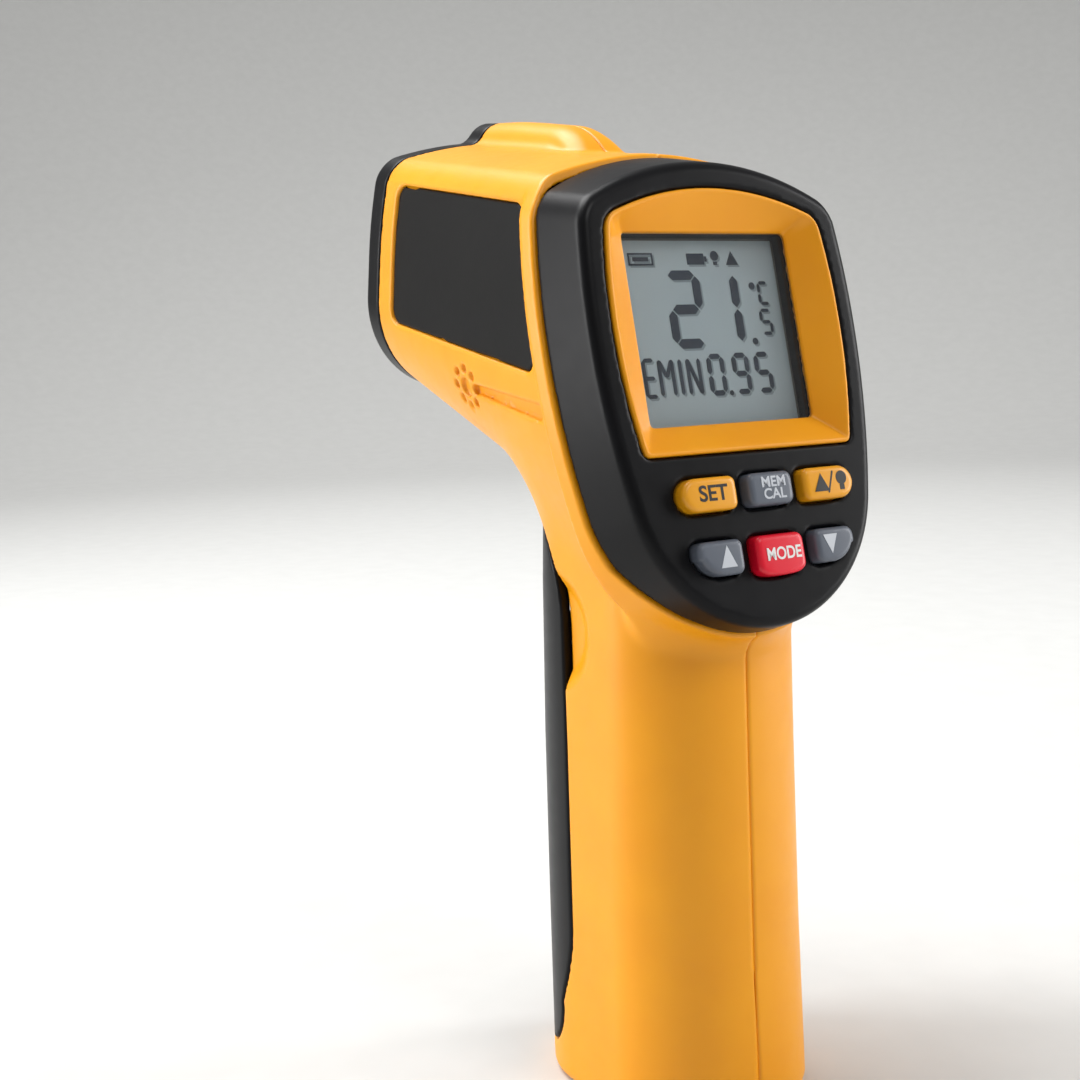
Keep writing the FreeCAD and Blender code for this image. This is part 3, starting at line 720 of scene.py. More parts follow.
def blank(name: str) -> tuple[bpy.types.Material, bpy.types.NodeTree, bpy.types.Node, bpy.types.NodeSocket]:
    """Start a material that has only a principled shader and its output.

    Args:
        name: Name of the material.

    Returns:
        The material, its node tree, its shader, and object coordinates in millimetres, so that the
        scales of patterns read as real sizes.
    """
    made = bpy.data.materials.new(name)
    made.use_nodes = True
    tree = made.node_tree
    tree.nodes.clear()
    shader = tree.nodes.new("ShaderNodeBsdfPrincipled")
    output = tree.nodes.new("ShaderNodeOutputMaterial")
    tree.links.new(shader.outputs[0], output.inputs[0])
    metres = add(tree, "ShaderNodeTexCoord").outputs["Object"]
    where = add(tree, "ShaderNodeVectorMath", {"operation": "SCALE"}, {0: metres, "Scale": 1000.0})
    return made, tree, shader, where.outputs[0]


def connect(tree: bpy.types.NodeTree, node: bpy.types.Node, inputs: dict) -> None:
    """Set or link the inputs of a node.

    Args:
        tree: Node tree that holds the node.
        node: Node to feed.
        inputs: Input socket name or index to a value or an output socket.
    """
    for key, value in inputs.items():
        if isinstance(value, bpy.types.NodeSocket):
            tree.links.new(value, node.inputs[key])
        else:
            node.inputs[key].default_value = value


class Slot(Enum):
    """Material slots of the record."""
    ORANGE = "orange_shell"
    HOUSING = "black_housing"
    PANEL = "black_panel"
    NICKEL = "nickel_can"
    BRASS = "brass_tube"
    WINDOW = "clear_window"
    LENS = "milky_lens"
    LCD = "lcd_glass"
    BOARD = "circuit_board"
    RUBBER = "grey_rubber"
    YELLOW = "yellow_key"
    GREY = "grey_key"
    RED = "red_key"
    STEEL = "steel"
    WRAP = "battery_wrap"
    WIRE = "wire_skin"


FINISHES = {
    # Satin ABS from a spark-eroded mould, slightly translucent so its shadows stay warm.
    Slot.ORANGE: Plastic("abs_orange_spark_eroded", "#F0A008", "#EC9A07", 0.40, 0.04, 0.3, 0.006, 0.4, 0.05),
    # Satin ABS from a finely blasted mould.
    Slot.HOUSING: Plastic("abs_black_fine_blasted", "#0A0A0C", "#0D0D10", 0.36, 0.02, 0.22, 0.006, 0.15),
    # Matt ABS from a coarser mould, as used for grip inlays.
    Slot.PANEL: Plastic("abs_charcoal_matt_moulded", "#0B0A0A", "#0F0E0D", 0.46, 0.02, 0.35, 0.012, 0.14),
    # Nickel plating over pressed steel.
    Slot.NICKEL: Metal("steel_nickel_plated_pressed", "#C9C7BF", "#BEBCB3"),
    # Turned brass.
    Slot.BRASS: Metal("brass_turned", "#C9A24A", "#BC9540"),
    # Polished acrylic sheet.
    Slot.WINDOW: Clear("acrylic_clear_polished", "#F6FAFB", "#F3F7F9"),
    # Moulded polyethylene infrared lens, milky.
    Slot.LENS: Clear("polyethylene_milky_moulded", "#DCE0DF", "#D5DAD9", 0.3, 0.25, 1.51),
    # Reflective display behind a matt polariser.
    Slot.LCD: Plastic("lcd_polariser_matt_film", "#D2DCDF", "#CDD7DB", 0.5, 0.03, 0.4, 0.001),
    # Green solder mask on glass laminate.
    Slot.BOARD: Laminate("laminate_green_masked", "#1E5B36", "#1A5231"),
    # Moulded silicone rubber.
    Slot.RUBBER: Plastic("silicone_grey_moulded", "#6D7073", "#66696C", 0.62),
    # Moulded keycaps in a smooth satin finish.
    Slot.YELLOW: Plastic("keycap_yellow_satin", "#E9A014", "#E59C12", 0.36, 0.04, 0.3, 0.003, 0.5, 0.05),
    Slot.GREY: Plastic("keycap_grey_satin", "#5B616C", "#575D68", 0.38, 0.04, 0.3, 0.003),
    Slot.RED: Plastic("keycap_red_satin", "#E4082B", "#DE0829", 0.36, 0.04, 0.3, 0.003, 0.5, 0.05),
    # Drawn steel wire and turned pins.
    Slot.STEEL: Metal("steel_drawn_bright", "#B4B6B8", "#A7A9AC"),
    # Printed shrink film round the cell.
    Slot.WRAP: Plastic("film_shrink_blue_printed", "#27497A", "#234470", 0.3, 0.03, 0.8, 0.004),
    # Extruded wire insulation.
    Slot.WIRE: Plastic("pvc_extruded_red", "#A81E1E", "#9C1C1C", 0.45),
}
# Uncoated studio background paper off the roll.
PAPER = Plastic("paper_white_matt", "#CFCFCD", "#CCCCCA", 0.9, 0.03, 1.5, 0.0, 0.2)


@dataclass
class Palette:
    """Builds each finish once and hands it out."""
    made: dict = field(default_factory=dict)

    def paint(self, piece: bpy.types.Object, slot: Slot, finish: Optional[Plastic] = None) -> None:
        """Give a piece one finish, the slot's own unless another is given.

        Args:
            piece: Object to finish.
            slot: Material slot of the record.
            finish: Finish to use instead of the slot's own.
        """
        chosen = finish or FINISHES[slot]
        if chosen.name not in self.made:
            self.made[chosen.name] = chosen.material()
        piece.data.materials.clear()
        piece.data.materials.append(self.made[chosen.name])


PALETTE = Palette()


def fit(piece: bpy.types.Object, slot: Slot, body: str, *nodes: str) -> bpy.types.Object:
    """Finish a piece, hang it on its body and let it stand for CAD nodes.

    Args:
        piece: Object to finish.
        slot: Material slot of the record.
        body: Body that carries it.
        nodes: CAD nodes that it stands for.

    Returns:
        The same piece.
    """
    PALETTE.paint(piece, slot)
    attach(piece, body)
    if nodes:
        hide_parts(*nodes)
    return piece


# ------------------------------------------------------------------ orange shells

class Side(Enum):
    """Which half of the body a piece belongs to, by the sign of Y."""
    LEFT = -1
    RIGHT = 1


@dataclass(frozen=True)
class Shells:
    """The two orange half shells with their pockets, grooves and screw recesses."""
    step: float = 0.5
    join: float = 0.05
    screws: tuple[tuple[float, float], ...] = ((4.5, 12.0), (8.5, 84.0), (-8.0, 118.5), (-40.1, 126.1))
    hidden_screw: tuple[float, float] = (-6.2, 151.2)
    post: float = 4.2
    head_bore: float = 3.0
    shank_bore: float = 1.45
    seat: float = 8.0
    shank_end: float = -12.0
    groove_start: float = -36.5
    groove_long: float = 22.0
    groove_level: float = -16.3
    dimple: tuple[float, float] = (-40.0, -16.6)
    petals: tuple[float, float] = (3.7, 3.3)

    def build(self) -> None:
        """Net both halves."""
        for side in Side:
            low_y, high_y = (-30.9, 0.3) if side is Side.LEFT else (-0.3, 30.9)
            net = Net(LEVEL, (low_y, -0.9, -60.0), (high_y, 176.4, 34.5), self.step)
            name = f"{side.name.lower()}_shell"
            fit(net.mesh(f"visual_{name}", self.half(side)), Slot.ORANGE, BODY, name)

    def half(self, side: Side) -> Field:
        """Field of one half shell."""
        def shape(x: Array, y: Array, z: Array) -> Array:
            """The shell on this side of the parting plane."""
            return both(self.shell(x, y, z), self.join - side.value * y, 0.3)
        return shape

    def shell(self, x: Array, y: Array, z: Array) -> Array:
        """Field of the whole shell before it is parted.

        Args:
            x: World X in millimetres.
            y: World Y in millimetres.
            z: World Z in millimetres.

        Returns:
            The field, negative inside.
        """
        _, _, r = AIM.local(x, y, z)
        _, v, w = FACE.local(x, y, z)
        body = FORM.body(x, y, z)
        skin = self.carve(body, x, y, z)
        skin = both(skin, FORM.nose_join - r, 0.35)
        skin = both(skin, (w - FORM.split(v)) * 0.96, 0.5)
        skin = self.posts(np.maximum(skin, -body - FORM.wall), body, x, y, z)
        return self.door_cuts(skin, x, y, z)

    def carve(self, body: Array, x: Array, y: Array, z: Array) -> Array:
        """Cut the flank panel pocket, the grip line under it and the scalloped dimple.

        Args:
            body: Field of the uncut form.
            x: World X in millimetres.
            y: World Y in millimetres.
            z: World Z in millimetres.

        Returns:
            The carved field.
        """
        _, t, r = AIM.local(x, y, z)
        pocket = np.maximum(FORM.panel_side(x, z), -body - 1.15)
        skin = without(body, np.maximum(pocket, 18 - np.abs(y)), 0.45)
        share = np.clip((r - self.groove_start) / self.groove_long, 0, 1)
        past = r - self.groove_start - self.groove_long * share
        line = np.hypot(past, t - self.groove_level) - 0.8 - 0.6 * share
        skin = without(skin, np.maximum(line, -body - 1.1), 0.35)
        pits = rod(r, t, self.dimple, 1.7)
        for turn in np.arange(8) * math.pi / 4:
            petal = (self.dimple[0] + self.petals[0] * math.cos(turn),
                     self.dimple[1] + self.petals[1] * math.sin(turn))
            pits = np.minimum(pits, rod(r, t, petal, 0.8))
        return without(skin, np.maximum(pits, -body - 0.8), 0.35)

    def posts(self, skin: Array, body: Array, x: Array, y: Array, z: Array) -> Array:
        """Grow the screw posts inside the skin, then bore them for shanks and, from the right, heads.

        Args:
            skin: Field of the hollow shell.
            body: Field of the uncut form.
            x: World X in millimetres.
            y: World Y in millimetres.
            z: World Z in millimetres.

        Returns:
            The shell with its posts.
        """
        for middle in self.screws + (self.hidden_screw,):
            skin = np.minimum(skin, np.maximum(rod(x, z, middle, self.post), body + 0.9))
        for middle in self.screws:
            skin = without(skin, np.maximum(rod(x, z, middle, self.head_bore), self.seat - y), 0.4)
        skin = np.maximum(skin, -np.maximum(rod(x, z, self.hidden_screw, self.head_bore), self.seat - y))
        for middle in self.screws + (self.hidden_screw,):
            skin = np.maximum(skin, -np.maximum(rod(x, z, middle, self.shank_bore), self.shank_end - y))
        return skin

    def door_cuts(self, skin: Array, x: Array, y: Array, z: Array) -> Array:
        """Open the front for the battery door and the trigger, with room for the door to swing.

        Args:
            skin: Field of the shell.
            x: World X in millimetres.
            y: World Y in millimetres.
            z: World Z in millimetres.

        Returns:
            The shell with its front opened.
        """
        hinge_x, hinge_z = FORM.hinge
        brow = both(both(np.abs(y) - 8.0, 103.5 - z), x - 10)
        opening = np.maximum(FORM.door_side(x, z) - FORM.gap, -np.maximum(brow, z - 130))
        skin = without(skin, opening, 0.3)
        sweep = np.maximum(rod(x, z, FORM.hinge, 10.0), np.maximum(z - hinge_z, x - hinge_x + 3))
        skin = without(skin, both(sweep, np.abs(y) - 7.5, 1.0), 0.5)
        return without(skin, FORM.scoop(x, y, z), 0.5)


@dataclass(frozen=True)
class SidePanels:
    """Charcoal panels let into both flanks of the head."""
    step: float = 0.5

    def build(self) -> None:
        """Net both panels."""
        for side in Side:
            near, far = (-29, -18) if side is Side.LEFT else (18, 29)
            low, high = (near, -15, -71), (far, 21, -14)
            net = Net(AIM, low, high, self.step)
            name = f"{side.name.lower()}_side_panel"
            fit(net.mesh(f"visual_{name}", self.shape), Slot.PANEL, BODY, name)

    @staticmethod
    def shape(x: Array, y: Array, z: Array) -> Array:
        """Field of the panels: the head's own skin, sunk a little and trimmed to the pocket.

        Args:
            x: World X in millimetres.
            y: World Y in millimetres.
            z: World Z in millimetres.

        Returns:
            The field, negative inside.
        """
        skin = FORM.head(x, y, z)
        plate = both(skin + 0.42, FORM.panel_side(x, z) + 0.12, 0.3)
        return np.maximum(np.maximum(plate, -skin - 1.1), 18 - np.abs(y))


@dataclass(frozen=True)
class NoseCap:
    """Black cap round the infrared mouth, carrying the ridge of the aiming light to the front."""
    front: float = -79.5
    mouth: float = 16.5
    seat: float = 14.2
    light_high: float = 22.6
    light_mouth: float = 2.6
    step: float = 0.5

    def build(self) -> None:
        """Net the cap."""
        net = Net(AIM, (-28, -25, -81), (28, 30.5, -72), self.step)
        fit(net.mesh("visual_nose_cap", self.shape), Slot.HOUSING, BODY, "nose_cap")

    def shape(self, x: Array, y: Array, z: Array) -> Array:
        """Field of the cap.

        Args:
            x: World X in millimetres.
            y: World Y in millimetres.
            z: World Z in millimetres.

        Returns:
            The field, negative inside.
        """
        a, t, r = AIM.local(x, y, z)
        section = either(FORM.head(x, y, z), FORM.hump(x, y, z), 1.8)
        cap = both(section, self.front - r, 1.8)
        cap = both(cap, r - FORM.nose_join + 0.2, 0.35)
        ring = np.hypot(a, t)
        dish = np.maximum(self.front + 2.2 - r, 0)
        cap = without(cap, np.maximum(ring - self.mouth + 0.3 * dish, r - self.front - 2.2), 0.8)
        cap = without(cap, ring - self.seat, 0.5)
        return without(cap, rod(a, t, (0, self.light_high), self.light_mouth), 0.5)


# ------------------------------------------------------------------ display end

@dataclass(frozen=True)
class Key:
    """One key: its edges in the display frame, and a radius for each corner."""
    name: str
    slot: Slot
    left: float
    right: float
    top: float
    bottom: float
    corners: tuple[float, float, float, float]
    belly: float = 0.0

    def side(self, across: Array, up: Array) -> Array:
        """Outline of the key; corners run upper left, upper right, lower right, lower left.

        Args:
            across: Millimetres across the display.
            up: Millimetres up the display.

        Returns:
            The field, negative inside.
        """
        a = across - (self.left + self.right) / 2
        b = up - (self.top + self.bottom) / 2
        ul, ur, lr, ll = self.corners
        radius = np.where(a < 0, np.where(b > 0, ul, ll), np.where(b > 0, ur, lr))
        qa = np.abs(a) - (self.right - self.left) / 2 + radius
        qb = np.abs(b) - (self.top - self.bottom) / 2 + radius
        box = np.minimum(np.maximum(qa, qb), 0) + np.hypot(np.maximum(qa, 0), np.maximum(qb, 0)) - radius
        if self.belly > 0:
            box = both(box, np.hypot(a, up - self.bottom - self.belly) - self.belly, 1.0)
        return box

    @property
    def middle(self) -> tuple[float, float]:
        """Centre of the key across and up."""
        return (self.left + self.right) / 2, (self.top + self.bottom) / 2


KEYS = (
    Key("set_button", Slot.YELLOW, -16.7, -5.9, -25.1, -30.5, (2.9, 1.2, 1.2, 2.9)),
    Key("memory_button", Slot.GREY, -3.4, 5.7, -25.1, -30.5, (1.3, 1.3, 1.3, 1.3)),
    Key("light_button", Slot.YELLOW, 8.2, 18.9, -25.1, -30.5, (1.2, 2.9, 2.9, 1.2)),
    Key("up_button", Slot.GREY, -15.4, -6.5, -35.2, -40.8, (1.6, 1.2, 1.3, 4.9)),
    Key("mode_button", Slot.RED, -3.8, 6.1, -35.2, -42.2, (1.4, 1.4, 1.8, 1.8), 13.0),
    Key("down_button", Slot.GREY, 8.7, 17.0, -35.2, -40.8, (1.2, 1.6, 4.9, 1.3)),
)


@dataclass(frozen=True)
class Bezel:
    """Black display housing, its edge rolled forward, pierced for the frame and the keys."""
    wall: float = 2.0
    face: float = 2.6
    step: float = 0.5

    def build(self) -> None:
        """Net the bezel."""
        net = Net(FACE, (-30.5, -52.5, -13.5), (30.5, 33.5, 1.0), self.step)
        fit(net.mesh("visual_display_bezel", self.shape), Slot.HOUSING, BODY, "display_bezel")

    def shape(self, x: Array, y: Array, z: Array) -> Array:
        """Field of the bezel.

        Args:
            x: World X in millimetres.
            y: World Y in millimetres.
            z: World Z in millimetres.

        Returns:
            The field, negative inside.
        """
        u, v, w = FACE.local(x, y, z)
        edge = FORM.outline(u, v, w)
        solid = both(edge, w, 1.5)
        solid = both(solid, (FORM.split(v) + 0.3 - w) * 0.96, 0.5)
        solid = np.maximum(solid, -np.maximum(edge + self.wall, w + self.face))
        frame = DisplayFrame()
        solid = without(solid, np.maximum(frame.side(u, v) - 0.15, -w - 6), 0.3)
        for key in KEYS:
            solid = without(solid, key.side(u, v) - 0.3, 0.45)
        return solid


@dataclass(frozen=True)
class DisplayFrame:
    """Orange frame with a raised lip, its four facets falling to the window and meeting in mitres."""
    half_wide: float = 17.0
    half_tall: float = 16.0
    lip: float = 0.6
    proud: float = 0.3
    depth: float = 3.3
    step: float = 0.4

    def build(self) -> None:
        """Net the frame."""
        net = Net(FACE, (-24.6, -22.4, -5.4), (24.6, 24.0, 1.2), self.step)
        fit(net.mesh("visual_display_frame", self.shape), Slot.ORANGE, BODY, "display_frame")

    @staticmethod
    def side(across: Array, up: Array) -> Array:
        """Outline of the frame.

        Args:
            across: Millimetres across the display.
            up: Millimetres up the display.

        Returns:
            The field, negative inside.
        """
        flank = np.hypot(np.abs(across) + 79.5, up) - 103
        crest = np.hypot(across, up + 29.3) - 52
        return both(both(flank, crest, 1.8), -21.2 - up, 1.0)

    def shape(self, x: Array, y: Array, z: Array) -> Array:
        """Field of the frame.

        Args:
            x: World X in millimetres.
            y: World Y in millimetres.
            z: World Z in millimetres.

        Returns:
            The field, negative inside.
        """
        u, v, w = FACE.local(x, y, z)
        edge = self.side(u, v) + 0.1
        hole = np.maximum(np.abs(u) - self.half_wide, np.abs(v) - self.half_tall)
        room = np.maximum(-edge - self.lip, 0)
        share = np.clip(hole / np.maximum(hole + room, 0.1), 0, 1)
        top = (w + self.depth - (self.depth + self.proud) * share) * 0.82
        solid = both(edge, top, 0.35)
        solid = without(solid, rectangle(u, v, self.half_wide, self.half_tall, 0.8), 0.0)
        return np.maximum(solid, -w - 4.6)


@dataclass(frozen=True)
class Keypad:
    """Six keys with flanges, domed a little and rounded all round."""
    proud: float = 2.15
    step: float = 0.4

    def build(self) -> None:
        """Net each key."""
        for key in KEYS:
            low = (key.left - 1.5, key.bottom - 1.5, -4.3)
            high = (key.right + 1.5, key.top + 1.5, 3.0)
            net = Net(FACE, low, high, self.step)
            fit(net.mesh(f"visual_{key.name}", self.shape(key)), key.slot, f"{key.name}_body", key.name)

    def shape(self, key: Key) -> Field:
        """Field of one key.

        Args:
            key: Which key.

        Returns:
            The field, negative inside.
        """
        mid_u, mid_v = key.middle

        def solid(x: Array, y: Array, z: Array) -> Array:
            """Field of the cap and its flange.

            Args:
                x: World X in millimetres.
                y: World Y in millimetres.
                z: World Z in millimetres.

            Returns:
                The field, negative inside.
            """
            u, v, w = FACE.local(x, y, z)
            sag = ((u - mid_u) ** 2 + (v - mid_v) ** 2) / 180
            cap = both(key.side(u, v), w - self.proud + sag, 0.8)
            cap = np.maximum(cap, -3.5 - w)
            flange = np.maximum(key.side(u, v) - 0.7, slab(w, -3.5, -2.6))
            return np.minimum(cap, flange)
        return solid


@dataclass(frozen=True)
class Print:
    """A printed mark: thin raised ink, set on a plane of the display frame."""
    name: str
    ink: Plastic
    body: str
    high: float
    thick: float = 0.05

    def loops(self, shapes: Sequence[Sequence[Sequence[float]]]) -> None:
        """Print closed outlines given in display coordinates.

        Args:
            shapes: Convex polygons, each a list of (across, up) corners.
        """
        points, faces = [], []
        for loop in shapes:
            start, count = len(points), len(loop)
            points += [(u, v, self.high) for u, v in loop] + [(u, v, self.high + self.thick) for u, v in loop]
            faces.append([start + count + k for k in range(count)])
            faces.append([start + k for k in reversed(range(count))])
            faces += [[start + k, start + (k + 1) % count, start + count + (k + 1) % count, start + count + k]
                      for k in range(count)]
        world = np.stack(FACE.world(*np.array(points, float).T), axis=1) * MM
        mesh = bpy.data.meshes.new(self.name)
        mesh.from_pydata(world.tolist(), [], faces)
        self.finish(bpy.data.objects.new(self.name, mesh))

    def word(self, text: str, across: float, up: float, tall: float, stretch: float = 1.0) -> None:
        """Print a word centred on a point, with capitals of the given height.

        Args:
            text: What it says.
            across: Centre across the display.
            up: Centre up the display.
            tall: Height of the capitals.
            stretch: Width over the natural width.
        """
        curve = bpy.data.curves.new(self.name, "FONT")
        curve.body, curve.size = text, tall * 1.4 * MM
        curve.align_x, curve.align_y = "CENTER", "CENTER"
        curve.extrude, curve.offset = self.thick * MM, 0.03 * tall * MM
        curve.space_line = 0.82
        holder = bpy.data.objects.new(self.name, curve)
        bpy.context.scene.collection.objects.link(holder)
        bpy.context.view_layer.update()
        mesh = bpy.data.meshes.new_from_object(holder.evaluated_get(bpy.context.evaluated_depsgraph_get()))
        bpy.data.objects.remove(holder)
        mesh.transform(FACE.matrix(across, up, self.high) @ Matrix.Diagonal((stretch, 1, 1, 1)))
        self.finish(bpy.data.objects.new(self.name, mesh))

    def finish(self, piece: bpy.types.Object) -> None:
        """Link, finish and hang the mark.

        Args:
            piece: The mark.
        """
        bpy.context.scene.collection.objects.link(piece)
        slot = Slot.LCD if self.body == BODY else Slot.GREY
        PALETTE.paint(piece, slot, self.ink)
        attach(piece, self.body)


# Screen-printed epoxy inks.
INK_BLACK = Plastic("ink_black_screen_printed", "#141414", "#181818", 0.4)
INK_WHITE = Plastic("ink_white_screen_printed", "#E9E9E6", "#E2E2DF", 0.4)
INK_PALE = Plastic("ink_pale_grey_screen_printed", "#C3C7CE", "#BDC1C8", 0.4)
# Dark segments of the display, and the soft shadow they throw on the reflector behind.
SEGMENT = Plastic("lcd_segment_switched", "#333A49", "#363D4C", 0.5)
SEGMENT_SHADOW = Plastic("lcd_segment_shadow", "#9EA9B0", "#9BA6AD", 0.5)
# Darker brownish strips round the edge of the display, a flat colour laid over the reflector grey.
LCD_BORDER = Plastic("lcd_border_printed", "#7A766F", "#75716A", 0.5)


def bar(start: Sequence[float], end: Sequence[float], width: float,
        cut: float = 0.5) -> list[tuple[float, float]]:
    """A segment bar with pointed ends.

    Args:
        start: Tip at one end.
        end: Tip at the other end.
        width: Width of the bar.
        cut: Length of each point as a share of the width.

    Returns:
        Six corners.
    """
    (x0, y0), (x1, y1) = start, end
    length = math.hypot(x1 - x0, y1 - y0)
    dx, dy = (x1 - x0) / length, (y1 - y0) / length
    nx, ny, tip = -dy * width / 2, dx * width / 2, cut * width
    return [(x0, y0), (x0 + dx * tip - nx, y0 + dy * tip - ny), (x1 - dx * tip - nx, y1 - dy * tip - ny),
            (x1, y1), (x1 - dx * tip + nx, y1 - dy * tip + ny), (x0 + dx * tip + nx, y0 + dy * tip + ny)]


def disc_loop(centre: Sequence[float], radius: float, count: int = 20) -> list[tuple[float, float]]:
    """Corners of a round mark."""
    turns = [2 * math.pi * k / count for k in range(count)]
    return [(centre[0] + radius * math.cos(t), centre[1] + radius * math.sin(t)) for t in turns]


@dataclass(frozen=True)
class Digit:
    """A seven-segment figure with its lower left corner at (left, low)."""
    left: float
    low: float
    wide: float
    tall: float
    bold: float
    lean: float = 0.0

    lit = {"0": "abcdef", "1": "bc", "2": "abged", "5": "afgcd", "9": "abcdfg", "C": "afed"}

    def bars(self, sign: str) -> list[list[tuple[float, float]]]:
        """Segment outlines of one character.

        Args:
            sign: One figure or letter.

        Returns:
            One outline for each lit segment.
        """
        w, h, g = self.wide, self.tall, 0.08 * self.bold + 0.05
        ends = {"a": ((g, h), (w - g, h)), "b": ((w, h - g), (w, h / 2 + g)), "c": ((w, h / 2 - g), (w, g)),
                "d": ((g, 0), (w - g, 0)), "e": ((0, g), (0, h / 2 - g)), "f": ((0, h / 2 + g), (0, h - g)),
                "g": ((g, h / 2), (w - g, h / 2))}
        loops = [bar(*ends[name], self.bold) for name in self.lit[sign]]
        return [[(self.left + u + self.lean * v, self.low + v) for u, v in loop] for loop in loops]


@dataclass(frozen=True)
class Readout:
    """What the display shows: a reading, its unit, an icon row and the emissivity setting."""
    plane: float = -7.08

    def build(self) -> None:
        """Print the border, the segments and their shadows."""
        marks = self.marks()
        shifted = [[(u + 0.35, v - 0.35) for u, v in loop] for loop in marks]
        Print("lcd_border", LCD_BORDER, BODY, self.plane, 0.02).loops(self.border())
        Print("lcd_shadows", SEGMENT_SHADOW, BODY, self.plane, 0.025).loops(shifted)
        Print("lcd_segments", SEGMENT, BODY, self.plane + 0.03, 0.04).loops(marks)

    @staticmethod
    def border() -> list[list[tuple[float, float]]]:
        """Four strips round the edge of the display.

        Returns:
            One outline for each strip.
        """
        u, v, t = 18.6, 17.6, 2.0
        return [[(-u, v - t), (u, v - t), (u, v), (-u, v)], [(-u, -v), (u, -v), (u, -v + t), (-u, -v + t)],
                [(-u, -v + t), (-u + t, -v + t), (-u + t, v - t), (-u, v - t)],
                [(u - t, -v + t), (u, -v + t), (u, v - t), (u - t, v - t)]]

    @staticmethod
    def marks() -> list[list[tuple[float, float]]]:
        """Every dark mark of the reading.

        Returns:
            One outline for each mark.
        """
        loops = Digit(-6.6, -1.9, 5.7, 11.6, 1.65).bars("2") + Digit(1.4, -1.9, 5.7, 11.6, 1.65).bars("1")
        loops += Digit(12.4, 4.6, 1.9, 3.6, 0.6).bars("C") + [disc_loop((11.0, 7.7), 0.65, 12)]
        loops += Digit(12.0, -0.6, 2.0, 4.0, 0.6).bars("5") + [disc_loop((9.9, -1.9), 0.6, 12)]
        loops += Digit(-0.8, -10.4, 2.7, 6.2, 0.9).bars("0") + [disc_loop((3.1, -10.5), 0.45, 10)]
        loops += Digit(4.5, -10.4, 2.7, 6.2, 0.9).bars("9") + Digit(9.3, -10.4, 2.7, 6.2, 0.9).bars("5")
        loops += Readout.letters(-14.2, -10.4, 6.0)
        loops += [[(-14.0, 11.4), (-9.0, 11.4), (-9.0, 11.7), (-14.0, 11.7)],
                  [(-14.0, 13.2), (-9.0, 13.2), (-9.0, 13.5), (-14.0, 13.5)],
                  [(-14.0, 11.7), (-13.7, 11.7), (-13.7, 13.2), (-14.0, 13.2)],
                  [(-9.3, 11.7), (-9.0, 11.7), (-9.0, 13.2), (-9.3, 13.2)],
                  [(-13.1, 12.1), (-9.9, 12.1), (-9.9, 12.8), (-13.1, 12.8)]]
        loops += [[(-2.0, 11.5), (1.6, 11.5), (1.6, 13.4), (-2.0, 13.4)],
                  [(1.7, 12.0), (2.2, 12.0), (2.2, 12.9), (1.7, 12.9)]]
        loops += [disc_loop((3.9, 13.0), 0.85), [(3.5, 11.4), (4.3, 11.4), (4.3, 12.0), (3.5, 12.0)]]
        loops += [[(6.2, 11.4), (8.8, 11.4), (7.5, 13.8)]]
        return loops

    @staticmethod
    def letters(left: float, low: float, tall: float) -> list[list[tuple[float, float]]]:
        """Stroke letters that name the setting in the lower row.

        Args:
            left: Left end of the first letter.
            low: Foot of the letters.
            tall: Height of the letters.

        Returns:
            One outline for each stroke.
        """
        strokes = {"E": ((0, 0, 0, 2), (0, 2, 1, 2), (0, 1, 1, 1), (0, 0, 1, 0)),
                   "M": ((0, 0, 0, 2), (0, 2, 0.5, 1), (0.5, 1, 1, 2), (1, 0, 1, 2)),
                   "I": ((0.5, 0, 0.5, 2),), "N": ((0, 0, 0, 2), (0, 2, 1, 0), (1, 0, 1, 2))}
        loops, start = [], left
        for sign, wide in (("E", 2.0), ("M", 2.6), ("I", 1.0), ("N", 2.3)):
            for u0, v0, u1, v1 in strokes[sign]:
                first = (start + u0 * wide, low + v0 * tall / 2)
                last = (start + u1 * wide, low + v1 * tall / 2)
                loops.append(bar(first, last, 0.7))
            start += wide + 1.1
        return loops


@dataclass(frozen=True)
class Legends:
    """Marks printed on the keycaps."""
    high: float = 2.12

    def build(self) -> None:
        """Print a mark on each key."""
        Print("legend_set", INK_BLACK, "set_button_body", self.high).word("SET", -10.9, -27.8, 2.5, 1.05)
        memory = Print("legend_memory", INK_PALE, "memory_button_body", self.high)
        memory.word("MEM\nCAL", 1.5, -27.8, 1.7, 1.05)
        Print("legend_mode", INK_WHITE, "mode_button_body", self.high).word("MODE", 1.4, -38.5, 2.0, 0.9)
        up = [[(-11.6, -39.6), (-8.4, -39.6), (-10.0, -36.1)]]
        down = [[(11.6, -39.5), (13.1, -36.3), (10.1, -36.3)]]
        light = [[(10.0, -29.2), (13.2, -29.2), (11.6, -26.2)], bar((12.9, -29.6), (14.3, -25.9), 0.35),
                 disc_loop((16.0, -27.2), 1.15), [(15.5, -29.2), (16.5, -29.2), (16.5, -28.3), (15.5, -28.3)]]
        Print("legend_up", INK_PALE, "up_button_body", self.high).loops(up)
        Print("legend_down", INK_PALE, "down_button_body", self.high).loops(down)
        Print("legend_light", INK_BLACK, "light_button_body", self.high).loops(light)


# ------------------------------------------------------------------ grip parts that move

